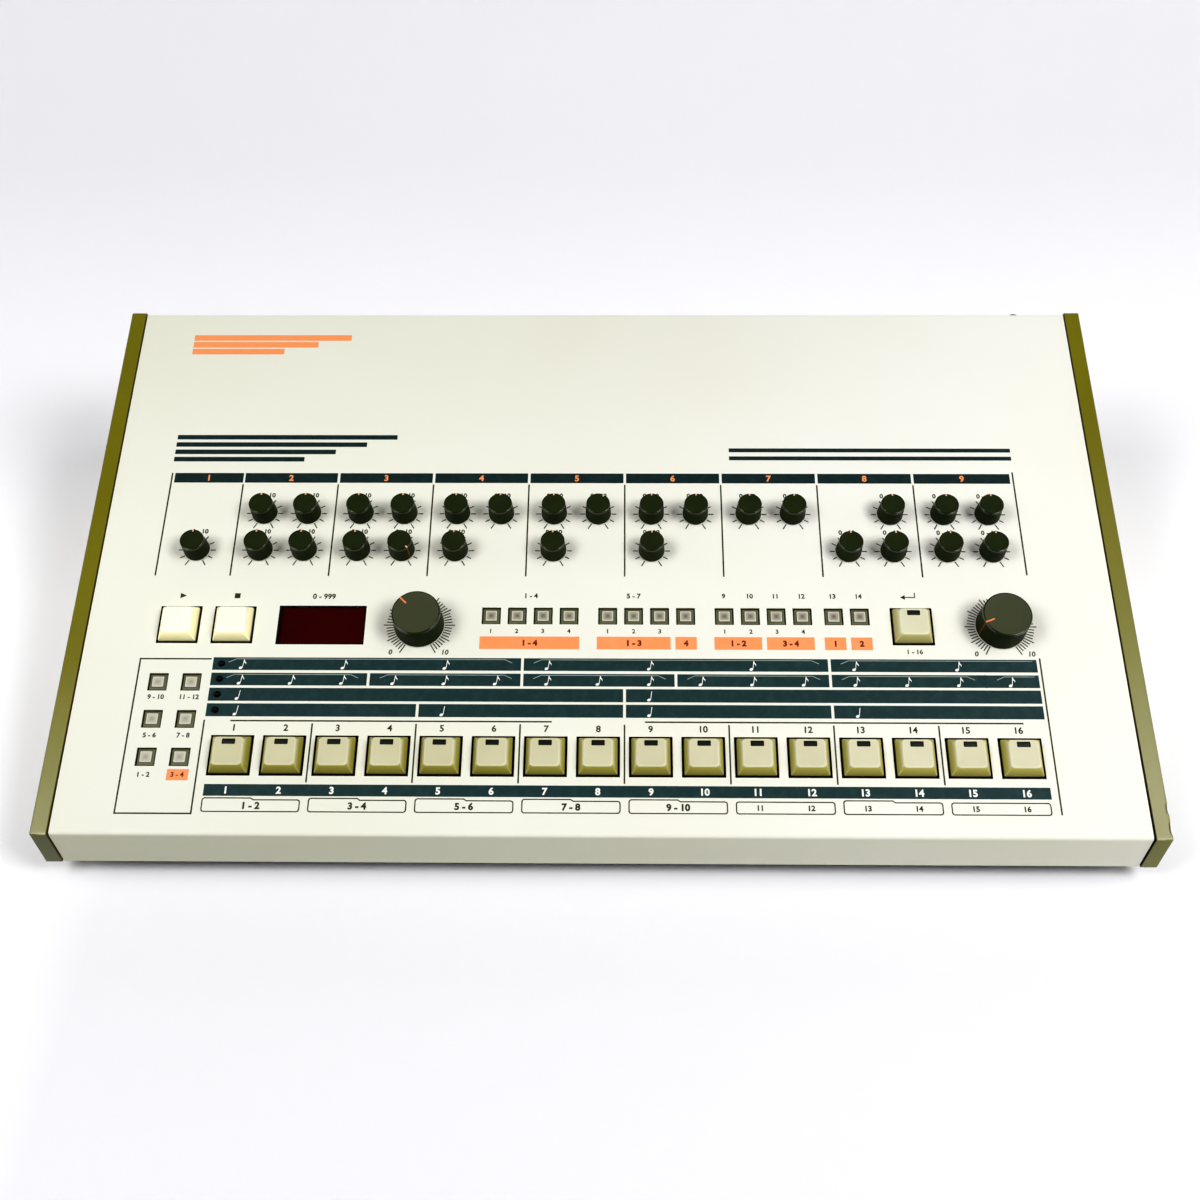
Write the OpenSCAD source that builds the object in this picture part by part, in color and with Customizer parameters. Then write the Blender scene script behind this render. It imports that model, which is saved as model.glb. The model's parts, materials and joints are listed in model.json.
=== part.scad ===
// Desk-top drum machine: a wedge-shaped case with a sloping control panel, step keys, knobs and buttons.
// Millimetres. The front faces -Y, +Z is up, and the origin is under the middle of the case, on the table.
// Places on the panel are given as x from the centre line and v up the slope from the front top edge.

/* [Case] */
// Overall width across the two side panels
body_w = 488; // [480:1:510]
// Length of the sloping top, from the front edge to the rear edge
panel_len = 284.5; // [280:0.5:300]
// Tilt of the sloping top in degrees
slope = 14.5; // [13:0.5:16]
// Height of the upright front face
front_h = 22.4; // [21:0.2:28]
// Thickness of each side panel
side_t = 7.5; // [6:0.5:12]
// How far the side panels stand proud of the cover
side_proud = 0.6; // [0.3:0.1:1.2]
// Rounding of the side panels' corners
side_corner_r = 1.5; // [0.5:0.1:4]
// Gap between a side panel and the cover
seam_gap = 0.4; // [0.2:0.1:0.8]
// Wall of the moulded cover
cover_t = 2.5; // [2:0.1:3.5]
// Outer bend radius of the cover's front and rear edges
bend_r = 2; // [1:0.1:2.4]
// Depth of the lip that the cover turns down over the rear panel
lip_h = 5; // [4:0.5:7]
// Thickness of the rear panel
rear_t = 2; // [1.5:0.1:3]

/* [Chassis and feet] */
// Height of the rubber feet
foot_h = 11.4; // [8:0.2:16]
// Diameter of a foot where it meets the chassis
foot_d = 22; // [16:1:28]
// Diameter of a foot where it meets the table
foot_tip_d = 18; // [14:1:24]
// Distance from the middle of a foot to the outside of the case
foot_inset = 36; // [30:1:60]
// Sheet thickness of the chassis
chassis_t = 1.2; // [0.8:0.1:2]
// Height of the chassis flanges
flange_h = 12; // [10:0.5:15]
// Number of cooling slots in the chassis floor
vent_count = 14; // [6:1:20]
// Width of a cooling slot
vent_w = 3; // [2:0.5:4]
// Length of a cooling slot
vent_len = 46; // [30:1:60]
// Middle of the cooling slots, forward of the middle of the case
vent_y = 70; // [66:1:76]
// Distance between cooling slots
vent_pitch = 9; // [7:0.5:11]
// Height of the pillars under the main board
pillar_h = 8; // [6:0.5:12]

/* [Screws] */
// Shank diameter of the case screws
screw_d = 3; // [2.5:0.1:4]
// Head diameter of the case screws
screw_head_d = 6; // [5:0.1:7]
// Head height of the case screws
screw_head_h = 2; // [1.5:0.1:3]
// Length of the case screws under the head
screw_len = 8; // [6.5:0.5:10]
// Clearance round a screw in its hole
screw_gap = 0.1; // [0.05:0.05:0.2]

/* [Keys] */
// Distance between step keys
step_pitch = 23.12; // [22:0.02:24]
// Middle of the first step key from the centre line
first_step_x = -162.2; // [-168:0.2:-158]
// Middle of the step keys up the slope
step_v = 37.2; // [34:0.2:40]
// Side of a key cap at its foot
key_cap_w = 17.2; // [16.6:0.1:17.8]
// Width of a key cap's top face
key_top_w = 13.7; // [12:0.1:15]
// Depth of a key cap's top face
key_top_d = 13.3; // [12:0.1:15]
// Rounding of a key cap's upright edges
key_edge_r = 1.6; // [0.8:0.1:2.4]
// Height of a key cap above the cover
key_rise = 5; // [4:0.1:7]
// Depth of a key cap's skirt below the cover's surface
key_skirt = 6; // [5.5:0.1:7]
// Wall of a key cap's skirt
key_wall = 1.6; // [1.4:0.1:2]
// Clearance round a key cap in its hole
key_gap = 1; // [0.5:0.05:1.2]
// Travel of a key
key_travel = 3; // [2:0.1:3.2]
// Stem diameter of a key
key_stem_d = 5; // [4:0.1:6]
// Width of a key's lamp window
lamp_w = 5.5; // [4:0.1:7]
// Depth of a key's lamp window
lamp_d = 2.2; // [1.5:0.1:3]
// Middle of the start key from the centre line
start_x = -193.9; // [-196:0.1:-192]
// Distance between the start key and the stop key
plain_key_pitch = 25.1; // [22:0.1:26.5]
// Middle of the enter key from the centre line
enter_x = 142.7; // [140:0.1:146]
// Middle of the row of large controls up the slope
control_v = 102; // [99:0.2:105]

/* [Knobs] */
// Foot diameter of a small knob
knob_d = 12.2; // [11:0.1:13.4]
// Top diameter of a small knob
knob_top_d = 11.2; // [10:0.1:12]
// Height of a small knob
knob_h = 8.9; // [7.5:0.1:11]
// Spindle diameter of a small knob
spindle_d = 5; // [4:0.1:6]
// Foot diameter of a large knob
dial_d = 23; // [20:0.2:25]
// Top diameter of a large knob
dial_top_d = 22; // [18:0.2:24]
// Height of a large knob
dial_h = 12; // [10:0.2:15]
// Spindle diameter of a large knob
dial_spindle_d = 6; // [5:0.1:7]
// Gap between a knob and the cover
knob_lift = 0.6; // [0.4:0.1:1]
// Width of the pointer groove
pointer_w = 1; // [0.6:0.1:1.6]
// Depth of the pointer groove
pointer_deep = 0.3; // [0.2:0.05:0.5]
// Distance between the two small knobs of a column
knob_pair = 21; // [20:0.1:22]
// Upper row of small knobs up the slope
upper_v = 162.2; // [160:0.2:166]
// Lower row of small knobs up the slope
lower_v = 141.8; // [139:0.2:143]
// Middle of the leftmost lower knob from the centre line
accent_x = -191; // [-193:0.2:-188]
// Middle of the left large knob from the centre line
tempo_x = -83.1; // [-86:0.2:-80]
// Middle of the right large knob from the centre line
volume_x = 182.9; // [180:0.2:188]

/* [Buttons] */
// Side of a small button at its foot
button_w = 7.8; // [7:0.1:8.4]
// Side of a small button's top
button_top_w = 7; // [6:0.1:7.2]
// How far the top of a small button lies below the cover's surface
button_sink = 0.9; // [0.4:0.1:1.2]
// Height of a small button's lens above the cover
button_rise = 0.3; // [0:0.1:1.5]
// Depth of a small button below the cover's surface
button_skirt = 4; // [3.6:0.1:5]
// Clearance round a small button in its hole
button_gap = 0.45; // [0.3:0.05:0.6]
// Travel of a small button
button_travel = 1; // [0.5:0.1:1.4]
// Side of the lens in a small button
button_lens_w = 5.4; // [4:0.1:5.6]
// Stem diameter of a small button
button_stem_d = 3.5; // [3:0.1:4]
// Distance between the buttons of the long row
button_pitch = 11.95; // [11:0.05:12.5]
// Long row of buttons up the slope
button_v = 107; // [104:0.2:112]
// First buttons of the four banks from the centre line
bank_x = [-50.2, 3.4, 57, 107.2];
// Distance between the two columns of corner buttons
corner_pitch_x = 15; // [13:0.2:16]
// Distance between the rows of corner buttons
corner_pitch_v = 18.25; // [16:0.25:20]
// First corner button from the centre line
corner_x = -199.4; // [-202:0.2:-196]
// First corner button up the slope
corner_v = 36.3; // [34:0.2:40]

/* [Display] */
// Width of the display opening
display_w = 40.4; // [34:0.2:42]
// Depth of the display opening
display_d = 20.1; // [16:0.1:24]
// Middle of the display from the centre line
display_x = -128.3; // [-130:0.1:-127]
// How far the window lies below the cover's surface
display_sink = 1.7; // [0.4:0.1:1.9]
// Rim of the window behind the cover
window_rim = 2; // [1:0.1:2.4]
// Thickness of the window's rim
window_rim_t = 1.2; // [0.8:0.1:1.6]
// Diameter of a row lamp
row_lamp_d = 3.2; // [2.4:0.1:4]
// Row lamps from the centre line
row_lamp_x = -171.8; // [-173:0.1:-171]
// Lowest row lamp up the slope
row_lamp_v = 59; // [58:0.1:60]
// Distance between the row lamps
row_lamp_pitch = 7.67; // [7:0.01:8]

/* [Boards] */
// Distance from the cover's surface down to the panel board
board_drop = 14.4; // [14:0.1:16]
// Thickness of the circuit boards
board_t = 1.6; // [1:0.1:2]
// Distance from the panel board to each side of the cover
board_margin = 9.6; // [8:0.2:12]
// Front edge of the panel board up the slope
board_front_v = 20; // [18:0.5:22]
// Rear edge of the panel board up the slope
board_rear_v = 190; // [184:0.5:200]
// Diameter of the posts that carry the panel board
post_d = 6; // [5:0.2:7]
// Distance from a corner post's middle to the edges of the panel board
post_edge = 6; // [4:0.5:8]
// Distance between the inner posts
post_pitch = 70; // [60:1:75]
// Side of a small potentiometer's body
pot_w = 11; // [10:0.2:14]
// Height of a small potentiometer's body
pot_h = 5.5; // [5:0.1:7]
// Body diameter of a large potentiometer
big_pot_d = 16; // [14:0.5:20]
// Height of a large potentiometer's body
big_pot_h = 7; // [6:0.1:8]
// Wall of a potentiometer's threaded neck
neck_wall = 1.1; // [0.9:0.1:1.5]
// Running clearance of spindles and stems
run_gap = 0.05; // [0.03:0.01:0.08]
// Clearance round a potentiometer's neck in the cover
neck_gap = 0.4; // [0.3:0.1:0.8]
// Side of a key switch
switch_w = 12.4; // [11:0.1:13]
// Height of a key switch
switch_h = 5.8; // [5.5:0.1:6]
// Side of a button switch
tact_w = 6; // [5:0.1:7]
// Height of a button switch
tact_h = 3.5; // [3:0.1:4.5]
// Width of the main board
main_w = 260; // [220:2:280]
// Depth of the main board
main_d = 112; // [90:2:116]
// Middle of the main board from the centre line
main_x = -70; // [-80:1:-60]
// Middle of the main board from the middle of the case
main_y = 18; // [12:1:24]

/* [Power supply] */
// Width of the transformer core
core_w = 54; // [44:1:60]
// Depth of the transformer core
core_d = 26; // [20:1:32]
// Height of the transformer core
core_h = 44; // [36:1:50]
// Width of the core's limbs
limb_w = 9; // [7:0.5:10]
// Overhang of the winding past the core
coil_over = 8; // [6:0.5:12]
// Middle of the transformer from the centre line
core_x = 172; // [165:1:190]
// Middle of the transformer from the middle of the case
core_y = 62; // [55:1:68]

/* [Rear sockets] */
// Number of 6.35 mm jack sockets
jack_count = 8; // [4:1:9]
// Distance between the jack sockets
jack_pitch = 25; // [22:0.5:28]
// First jack socket from the centre line
first_jack_x = -95; // [-100:1:-90]
// Bore of a jack socket
jack_bore_d = 6.5; // [6.4:0.05:6.7]
// Depth of a jack socket's bore
jack_bore_len = 26; // [22:0.5:30]
// Barrel diameter of a jack socket
jack_barrel_d = 9.5; // [9:0.1:11]
// Ring nut diameter of a jack socket
jack_nut_d = 14; // [12:0.2:16]
// Ring nut thickness
jack_nut_t = 2.4; // [2:0.1:3]
// Side of a jack socket's housing
jack_box_w = 15; // [13:0.5:18]
// Distance from the top of the case down to the sockets
socket_drop = 42; // [36:0.5:48]
// Number of round data sockets
data_count = 2; // [1:1:2]
// First round data socket from the centre line
first_data_x = -195; // [-205:1:-190]
// Distance between the round data sockets
data_pitch = 34; // [30:1:40]
// Inner diameter of a round data socket
data_bore_d = 13.8; // [13.4:0.1:14.4]
// Depth of a round data socket
data_bore_len = 8; // [7:0.5:10]
// Outer diameter of a round data socket's collar
data_collar_d = 18; // [16.5:0.5:20]
// Mains inlet from the centre line
inlet_x = 176; // [168:1:184]
// Width of the mains inlet's recess
inlet_w = 14.6; // [14:0.1:15.4]
// Height of the mains inlet's recess
inlet_h = 8.6; // [8.2:0.1:9.2]
// Depth of the mains inlet's recess
inlet_deep = 9; // [8:0.5:10]
// Distance between the mains inlet's pins
inlet_pitch = 8.6; // [8.2:0.1:9]
// Diameter of a mains inlet pin
inlet_pin_d = 2.4; // [2:0.1:2.6]
// Distance from the middle of the power button to the outside of the case
power_inset = 29; // [26:0.5:36]
// Distance from the top of the case down to the power button
power_drop = 14.4; // [13.4:0.2:18]
// Diameter of the power button
power_d = 6; // [5:0.1:8]
// How far the power button stands out of the rear panel
power_rise = 12; // [9:0.5:13]
// Travel of the power button
power_travel = 3.5; // [2:0.1:5]

/* [Hidden] */
// Clearance between pieces of different materials that lie side by side
fit_gap = 0.2;
// Cooling slots from the middle, to the left, and the chassis flanges' corner reliefs
vent_offset = 20;
front_relief = 14;
rear_relief = 20;
// Rubber between a foot's screw head and the chassis
foot_seat = 4;
// Floor of a potentiometer's bore, and the air under its spindle
pot_floor = 1;
spindle_gap = 0.6;
// Rows of posts between the controls, up the slope
post_rows = [70, 124];
// Chips and capacitors of the main board
chip_pitch = [32, 28];
chip_size = [18, 7.5, 4];
wide_chip_w = 24;
cap_pitch = 40;
cap_d = 8;
cap_h = 11;
cap_edge = 10;
body_h = foot_h + front_h + panel_len * sin(slope);
front_z = foot_h + front_h;
rear_len = (front_h + panel_len * sin(slope)) / cos(slope);
body_d = panel_len * cos(slope) + rear_len * sin(slope);
front_y = -body_d / 2;
inner_w = body_w - 2 * side_t;
cover_w = inner_w - 2 * seam_gap;
board_w = cover_w - 2 * board_margin;
stop_x = start_x + plain_key_pitch;
power_x = body_w / 2 - power_inset;
floor_z = foot_h + chassis_t;
step_count = 16;
column_count = 8;
key_hole_w = key_cap_w + 2 * key_gap;
button_hole_w = button_w + 2 * button_gap;
neck_d = spindle_d + 2 * (run_gap + neck_wall);
dial_neck_d = dial_spindle_d + 2 * (run_gap + neck_wall);
neck_hole_d = neck_d + 2 * neck_gap;
dial_neck_hole_d = dial_neck_d + 2 * neck_gap;
neck_top = -cover_t;
board_z = -board_drop;
rear_v = panel_len - side_proud - cover_t;
rear_inner_v = rear_v - rear_t;
boss_d = 8;
boss_inset = 12;
lamp_back = 0.9;
screw_spread = 5;
pocket_rim = 6;
// Air under a piece that is glued, soldered or clipped on
seat_gap = 0.05;

// Small knobs: column, and side of the column's middle
upper_knobs = concat([for (c = [0:5]) for (side = [-1, 1]) [c, side]], [[6, 1], [7, -1], [7, 1]]);
lower_knobs = [[0, -1], [0, 1], [1, -1], [1, 1], [2, -1], [3, -1], [4, -1], [6, -1], [6, 1], [7, -1], [7, 1]];
lower_count = len(lower_knobs) + 1;
// Where each pointer stands at rest, in degrees anticlockwise from straight up the slope
tempo_turn = 45;
volume_turn = 112;
function upper_turn(i) = i == 7 ? -30 : 0;
function lower_turn(i) = i == 4 ? -135 : 0;

function two_digits(n) = str(n < 10 ? "0" : "", n);
function upper_name(i) = str("upper_knob_", two_digits(i + 1));
function lower_name(i) = str("lower_knob_", two_digits(i + 1));
function step_name(c) = str("step_keys_", two_digits(2 * c + 1), "_", two_digits(2 * c + 2));
function bank_name(b) = str("button_bank_", b + 1);

// ---------------------------------------------------------------- places

function step_x(i) = first_step_x + step_pitch * i;
function column_x(c) = first_step_x + step_pitch * (2 * c + 0.5);
function knob_x(k) = column_x(k[0]) + k[1] * knob_pair / 2;
function upper_x(i) = knob_x(upper_knobs[i]);
function lower_x(i) = i == 0 ? accent_x : knob_x(lower_knobs[i - 1]);
function bank_size(b) = b < 3 ? 4 : 2;

step_places = [for (i = [0:step_count - 1]) [step_x(i), step_v]];
key_places = concat(step_places, [for (x = [start_x, stop_x, enter_x]) [x, control_v]]);
upper_places = [for (i = [0:len(upper_knobs) - 1]) [upper_x(i), upper_v]];
lower_places = [for (i = [0:lower_count - 1]) [lower_x(i), lower_v]];
small_knob_places = concat(upper_places, lower_places);
dial_places = [[tempo_x, control_v], [volume_x, control_v]];
bank_places = [for (b = [0:len(bank_x) - 1])
    [for (i = [0:bank_size(b) - 1]) [bank_x[b] + i * button_pitch, button_v]]];
corner_places = [for (i = [0:1]) for (j = [0:2])
    [corner_x + i * corner_pitch_x, corner_v + j * corner_pitch_v]];
button_places = concat([for (bank = bank_places) each bank], corner_places);
row_lamp_places = [for (i = [0:3]) [row_lamp_x, row_lamp_v + i * row_lamp_pitch]];
post_places = concat(
    [for (side = [-1, 1]) for (v = [board_front_v + post_edge, post_rows[1], board_rear_v - post_edge])
        [side * (board_w / 2 - post_edge), v]],
    [for (i = [-1:1]) for (v = post_rows) [i * post_pitch, v]]);
foot_places = [for (sx = [-1, 1]) for (sy = [-1, 1])
    [sx * (body_w / 2 - foot_inset), sy * (body_d / 2 - foot_inset)]];
boss_places = [for (x = [-1, 0, 1]) [x * (cover_w / 2 - 2 * boss_d), front_y + boss_inset]];
rear_screw_x = [for (i = [-2:2]) i * (inner_w / screw_spread)];

// Panel frame: X across, Y up the slope, Z out of the case
module on_top() translate([0, front_y, front_z]) rotate([slope, 0, 0]) children();
// The same frame on the surface of the cover
module on_cover() on_top() translate([0, 0, -side_proud]) children();
// A place on the rear panel: Z points out of the case
module on_rear(x, drop) on_top() translate([x, rear_v, -drop]) rotate([-90, 0, 0]) children();
module at_each(places) for (p = places) translate([p[0], p[1], 0]) children();

// ---------------------------------------------------------------- outlines

function unit(a) = a / norm(a);
// Points of an arc that rounds the corner p between its neighbours a and b
function arc_corner(a, p, b, r, steps = 8) =
    r == 0 ? [p] :
    let (to_a = unit(a - p), to_b = unit(b - p),
         half = acos(to_a * to_b) / 2,
         centre = p + unit(to_a + to_b) * r / sin(half),
         start = p + to_a * r / tan(half) - centre,
         end = p + to_b * r / tan(half) - centre,
         from = atan2(start.y, start.x),
         turn = (atan2(end.y, end.x) - from + 540) % 360 - 180)
    [for (k = [0:steps]) centre + r * [cos(from + turn * k / steps), sin(from + turn * k / steps)]];
function round_corners(points, radii, steps = 8) =
    let (n = len(points))
    [for (i = [0:n - 1])
        each arc_corner(points[(i + n - 1) % n], points[i], points[(i + 1) % n], radii[i], steps)];

// Corners of the case seen from its side, a distance i inside the outer line
function front_top(i) = [front_y + i, front_z + i * ((1 - sin(slope)) * tan(slope) - cos(slope))];
function rear_at(i, drop) = [
    front_y + (panel_len - i) * cos(slope) + drop * sin(slope),
    front_z + (panel_len - i) * sin(slope) - drop * cos(slope)];
function rear_bottom(i) = rear_at(i, rear_len - (foot_i(i)) / cos(slope));
function foot_i(i) = i * (1 + sin(slope));
function side_outline(i) = [[front_y + i, foot_h + i], rear_bottom(i), rear_at(i, i), front_top(i)];

module from_side(width) rotate([90, 0, 90]) linear_extrude(width, center = true) children();

// ---------------------------------------------------------------- case

module cover_profile() {
    out = side_proud;
    in = side_proud + cover_t;
    polygon(round_corners(
        [[front_y + out, foot_h], front_top(out), rear_at(out, out), rear_at(out, out + lip_h),
         rear_at(in, out + lip_h), rear_at(in, in), front_top(in), [front_y + in, foot_h]],
        [0.4, bend_r, bend_r, 0.4, 0.4, fit_gap, fit_gap, 0.4]));
}

module square_holes(places, w, deep) at_each(places) cube([w, w, deep], center = true);
module round_holes(places, d, deep) at_each(places) cylinder(d = d, h = deep, center = true, $fn = 48);

module top_cover() color([0.93, 0.92, 0.87]) difference() {
    union() {
        from_side(cover_w) cover_profile();
        on_cover() at_each(post_places) translate([0, 0, board_z])
            cylinder(d = post_d, h = board_drop - cover_t / 2, $fn = 32);
        for (p = boss_places) translate([p[0], p[1], floor_z])
            cylinder(d = boss_d, h = boss_top(p[1]) - floor_z, $fn = 32);
        for (x = rear_screw_x) on_top()
            translate([x - boss_d / 2, rear_inner_v - screw_len, -rear_boss_low()])
            cube([boss_d, screw_len, rear_boss_low() - side_proud - cover_t / 2]);
    }
    on_cover() {
        square_holes(key_places, key_hole_w, 3 * cover_t);
        square_holes(button_places, button_hole_w, 3 * cover_t);
        round_holes(small_knob_places, neck_hole_d, 3 * cover_t);
        round_holes(dial_places, dial_neck_hole_d, 3 * cover_t);
        round_holes(row_lamp_places, row_lamp_d + 2 * fit_gap, 3 * cover_t);
        translate([display_x, control_v, 0]) cube([display_w, display_d, 3 * cover_t], center = true);
    }
    for (p = boss_places) translate([p[0], p[1], floor_z - 1])
        cylinder(d = screw_d + 2 * screw_gap, h = screw_len + 1, $fn = 24);
    for (x = rear_screw_x) on_rear(x, rear_screw_drop()) translate([0, 0, -rear_t - screw_len - 1])
        cylinder(d = screw_d + 2 * screw_gap, h = screw_len + 1, $fn = 24);
}
// Middle of the cover's wall above a boss
function boss_top(y) = front_z + (y - front_y) * tan(slope) - (side_proud + cover_t / 2) / cos(slope);
function rear_screw_drop() = side_proud + lip_h + screw_head_d / 2 + 0.5;
function rear_boss_low() = rear_screw_drop() + boss_d / 2;

module side_panel() color([0.45, 0.43, 0.2]) difference() {
    from_side(side_t) polygon(round_corners(side_outline(0), [for (i = [0:3]) side_corner_r]));
    // Pocket inside, above the chassis flange
    translate([side_t / 2, 0, 0]) from_side(side_t) intersection() {
        polygon(side_outline(pocket_rim));
        translate([front_y, floor_z + flange_h]) square([2 * body_d, 2 * body_h]);
    }
}
module left_side_panel() translate([-(body_w - side_t) / 2, 0, 0]) side_panel();
module right_side_panel() translate([(body_w - side_t) / 2, 0, 0]) mirror([1, 0, 0]) side_panel();

module bottom_chassis() color([0.3, 0.3, 0.28]) {
    front_in = front_y + side_proud + cover_t + fit_gap;
    rear_in = rear_at(panel_len - rear_inner_v, rear_len - 0.5)[0];
    w = inner_w - 2 * fit_gap;
    pillar_x = main_w / 2 - 6;
    pillar_y = main_d / 2 - 6;
    difference() {
        union() {
            translate([-w / 2, front_in, foot_h]) cube([w, rear_in - front_in - chassis_t, chassis_t]);
            for (side = [-1, 1])
                translate([side * (w - chassis_t) / 2 - chassis_t / 2, front_in + front_relief, foot_h])
                cube([chassis_t, rear_in - front_in - front_relief - rear_relief, flange_h]);
            translate([-w / 2, front_in, foot_h]) cube([w, chassis_t, flange_h]);
            on_top() translate([-w / 2, rear_inner_v - chassis_t, -rear_len + chassis_t])
                cube([w, chassis_t, flange_h]);
            for (sx = [-1, 1]) for (sy = [-1, 1])
                translate([main_x + sx * pillar_x, main_y + sy * pillar_y, foot_h])
                cylinder(d = 6, h = chassis_t + pillar_h, $fn = 32);
        }
        for (i = [0:vent_count - 1])
            translate([(i - (vent_count - 1) / 2) * vent_pitch - vent_offset, -vent_y, foot_h])
            cube([vent_w, vent_len, 4 * chassis_t], center = true);
        for (p = concat(boss_places, foot_places)) translate([p[0], p[1], foot_h - 1])
            cylinder(d = screw_d + 2 * screw_gap, h = chassis_t + 2, $fn = 24);
        for (x = rear_screw_x) on_rear(x, lower_screw_drop()) translate([0, 0, -rear_t - 2 * chassis_t])
            cylinder(d = screw_d + 2 * screw_gap, h = 3 * chassis_t, $fn = 24);
    }
}
function lower_screw_drop() = rear_len - flange_h / 2;

module rear_panel() color([0.82, 0.8, 0.74]) difference() {
    top_drop = side_proud + cover_t + fit_gap;
    on_top() translate([-cover_w / 2, rear_inner_v, -rear_len + rear_t * sin(slope)])
        cube([cover_w, rear_t, rear_len - rear_t * sin(slope) - top_drop]);
    for (x = jack_xs()) on_rear(x, socket_drop) through_rear(jack_barrel_d + fit_gap);
    for (x = data_xs()) on_rear(x, socket_drop) through_rear(data_collar_d + fit_gap);
    on_rear(power_x, power_drop) through_rear(power_collar_d() + fit_gap);
    on_rear(inlet_x, socket_drop) cube(inlet_box(fit_gap, 4 * rear_t), center = true);
    for (x = rear_screw_x) {
        on_rear(x, rear_screw_drop()) through_rear(screw_d + 2 * screw_gap);
        on_rear(x, lower_screw_drop()) through_rear(screw_d + 2 * screw_gap);
    }
}
module through_rear(d) cylinder(d = d, h = 4 * rear_t, center = true, $fn = 48);
function jack_xs() = [for (i = [0:jack_count - 1]) first_jack_x + i * jack_pitch];
function data_xs() = [for (i = [0:data_count - 1]) first_data_x + i * data_pitch];
function power_collar_d() = power_d + 2 * run_gap + 3;
function inlet_box(gap, deep) = [inlet_w + 5 + gap, inlet_h + 5 + gap, deep];

module rubber_feet() color([0.12, 0.12, 0.12]) for (p = foot_places) translate([p[0], p[1], 0]) difference() {
    union() {
        cylinder(d = foot_tip_d, h = 1, $fn = 48);
        translate([0, 0, 1]) cylinder(d1 = foot_tip_d, d2 = foot_d, h = foot_h - 1, $fn = 48);
    }
    translate([0, 0, -1]) cylinder(d = screw_head_d + 2 * screw_gap, h = foot_h - foot_seat + 1, $fn = 32);
    cylinder(d = screw_d + 2 * screw_gap, h = foot_h + 1, $fn = 24);
}

// A screw with its head's seat at the origin, its shank going down
module screw() {
    cylinder(d = screw_head_d, h = screw_head_h, $fn = 32);
    translate([0, 0, -screw_len]) cylinder(d = screw_d, h = screw_len, $fn = 24);
}
module case_screws() color([0.2, 0.2, 0.2]) {
    for (p = boss_places) translate([p[0], p[1], foot_h]) rotate([180, 0, 0]) screw();
    for (p = foot_places) translate([p[0], p[1], foot_h - foot_seat]) rotate([180, 0, 0]) screw();
    for (x = rear_screw_x) {
        on_rear(x, rear_screw_drop()) screw();
        on_rear(x, lower_screw_drop()) screw();
    }
}

// ---------------------------------------------------------------- boards and what they carry

module display_window() color([0.2, 0.01, 0.05]) on_cover() translate([display_x, control_v, 0]) {
    plate = [display_w - 2 * fit_gap, display_d - 2 * fit_gap, cover_t - display_sink];
    rim = [display_w + 2 * window_rim, display_d + 2 * window_rim, window_rim_t];
    translate([-plate.x / 2, -plate.y / 2, -cover_t]) cube(plate);
    translate([-rim.x / 2, -rim.y / 2, -cover_t - window_rim_t]) cube(rim);
}

module panel_board() on_cover() {
    color([0.1, 0.35, 0.15]) translate([-board_w / 2, board_front_v, board_z - board_t])
        cube([board_w, board_rear_v - board_front_v, board_t]);
    color([0.1, 0.1, 0.1]) translate([display_x, control_v, board_z + seat_gap]) {
        h = board_drop - cover_t - window_rim_t - fit_gap - seat_gap;
        translate([-display_w / 2 + 1, -display_d / 2 + 1, 0]) cube([display_w - 2, display_d - 2, h]);
    }
    color([0.15, 0.02, 0.02]) at_each(row_lamp_places) {
        translate([0, 0, board_z + seat_gap])
            cylinder(d = row_lamp_d, h = board_drop - seat_gap, $fn = 32);
        sphere(d = row_lamp_d, $fn = 32);
    }
}

// Potentiometer body with its threaded neck, bored for a spindle
module pot(bore, neck, h) difference() {
    union() {
        translate([0, 0, board_z]) children();
        translate([0, 0, board_z + h / 2]) cylinder(d = neck, h = neck_top - board_z - h / 2, $fn = 48);
    }
    translate([0, 0, board_z + pot_floor]) cylinder(d = bore, h = board_drop, $fn = 48);
}
module potentiometers() color([0.6, 0.6, 0.6]) on_cover() {
    at_each(small_knob_places) pot(spindle_d + 2 * run_gap, neck_d, pot_h)
        translate([-pot_w / 2, -pot_w / 2, 0]) cube([pot_w, pot_w, pot_h]);
    at_each(dial_places) pot(dial_spindle_d + 2 * run_gap, dial_neck_d, big_pot_h)
        cylinder(d = big_pot_d, h = big_pot_h, $fn = 64);
}

// A switch on the board with a well for the stem above it
module switch_body(w, h, stem, well) difference() {
    translate([-w / 2, -w / 2, board_z]) cube([w, w, h]);
    translate([0, 0, board_z + h - well]) cylinder(d = stem + 2 * run_gap, h = well + 1, $fn = 32);
}
module key_switches() color([0.15, 0.15, 0.15]) on_cover() {
    at_each(key_places) switch_body(switch_w, switch_h, key_stem_d, key_well());
    at_each(button_places) switch_body(tact_w, tact_h, button_stem_d, button_well());
}
stem_bite = 1;
function key_well() = stem_bite + key_travel + 0.4;
function button_well() = stem_bite + button_travel + 0.4;

module main_board() translate([main_x, main_y, floor_z + pillar_h]) {
    color([0.1, 0.35, 0.15]) translate([-main_w / 2, -main_d / 2, 0]) cube([main_w, main_d, board_t]);
    color([0.12, 0.12, 0.12]) for (i = [-3:3]) for (j = [-1:1])
        translate([i * chip_pitch.x - chip_size.x / 2, j * chip_pitch.y - chip_size.y / 2, 0])
        translate([0, 0, board_t + seat_gap])
        cube([i % 3 == 0 ? wide_chip_w : chip_size.x, chip_size.y, chip_size.z]);
    color([0.7, 0.7, 0.72]) for (i = [-2:2])
        translate([i * cap_pitch, main_d / 2 - cap_edge, board_t + seat_gap])
        cylinder(d = cap_d, h = cap_h, $fn = 32);
}

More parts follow.
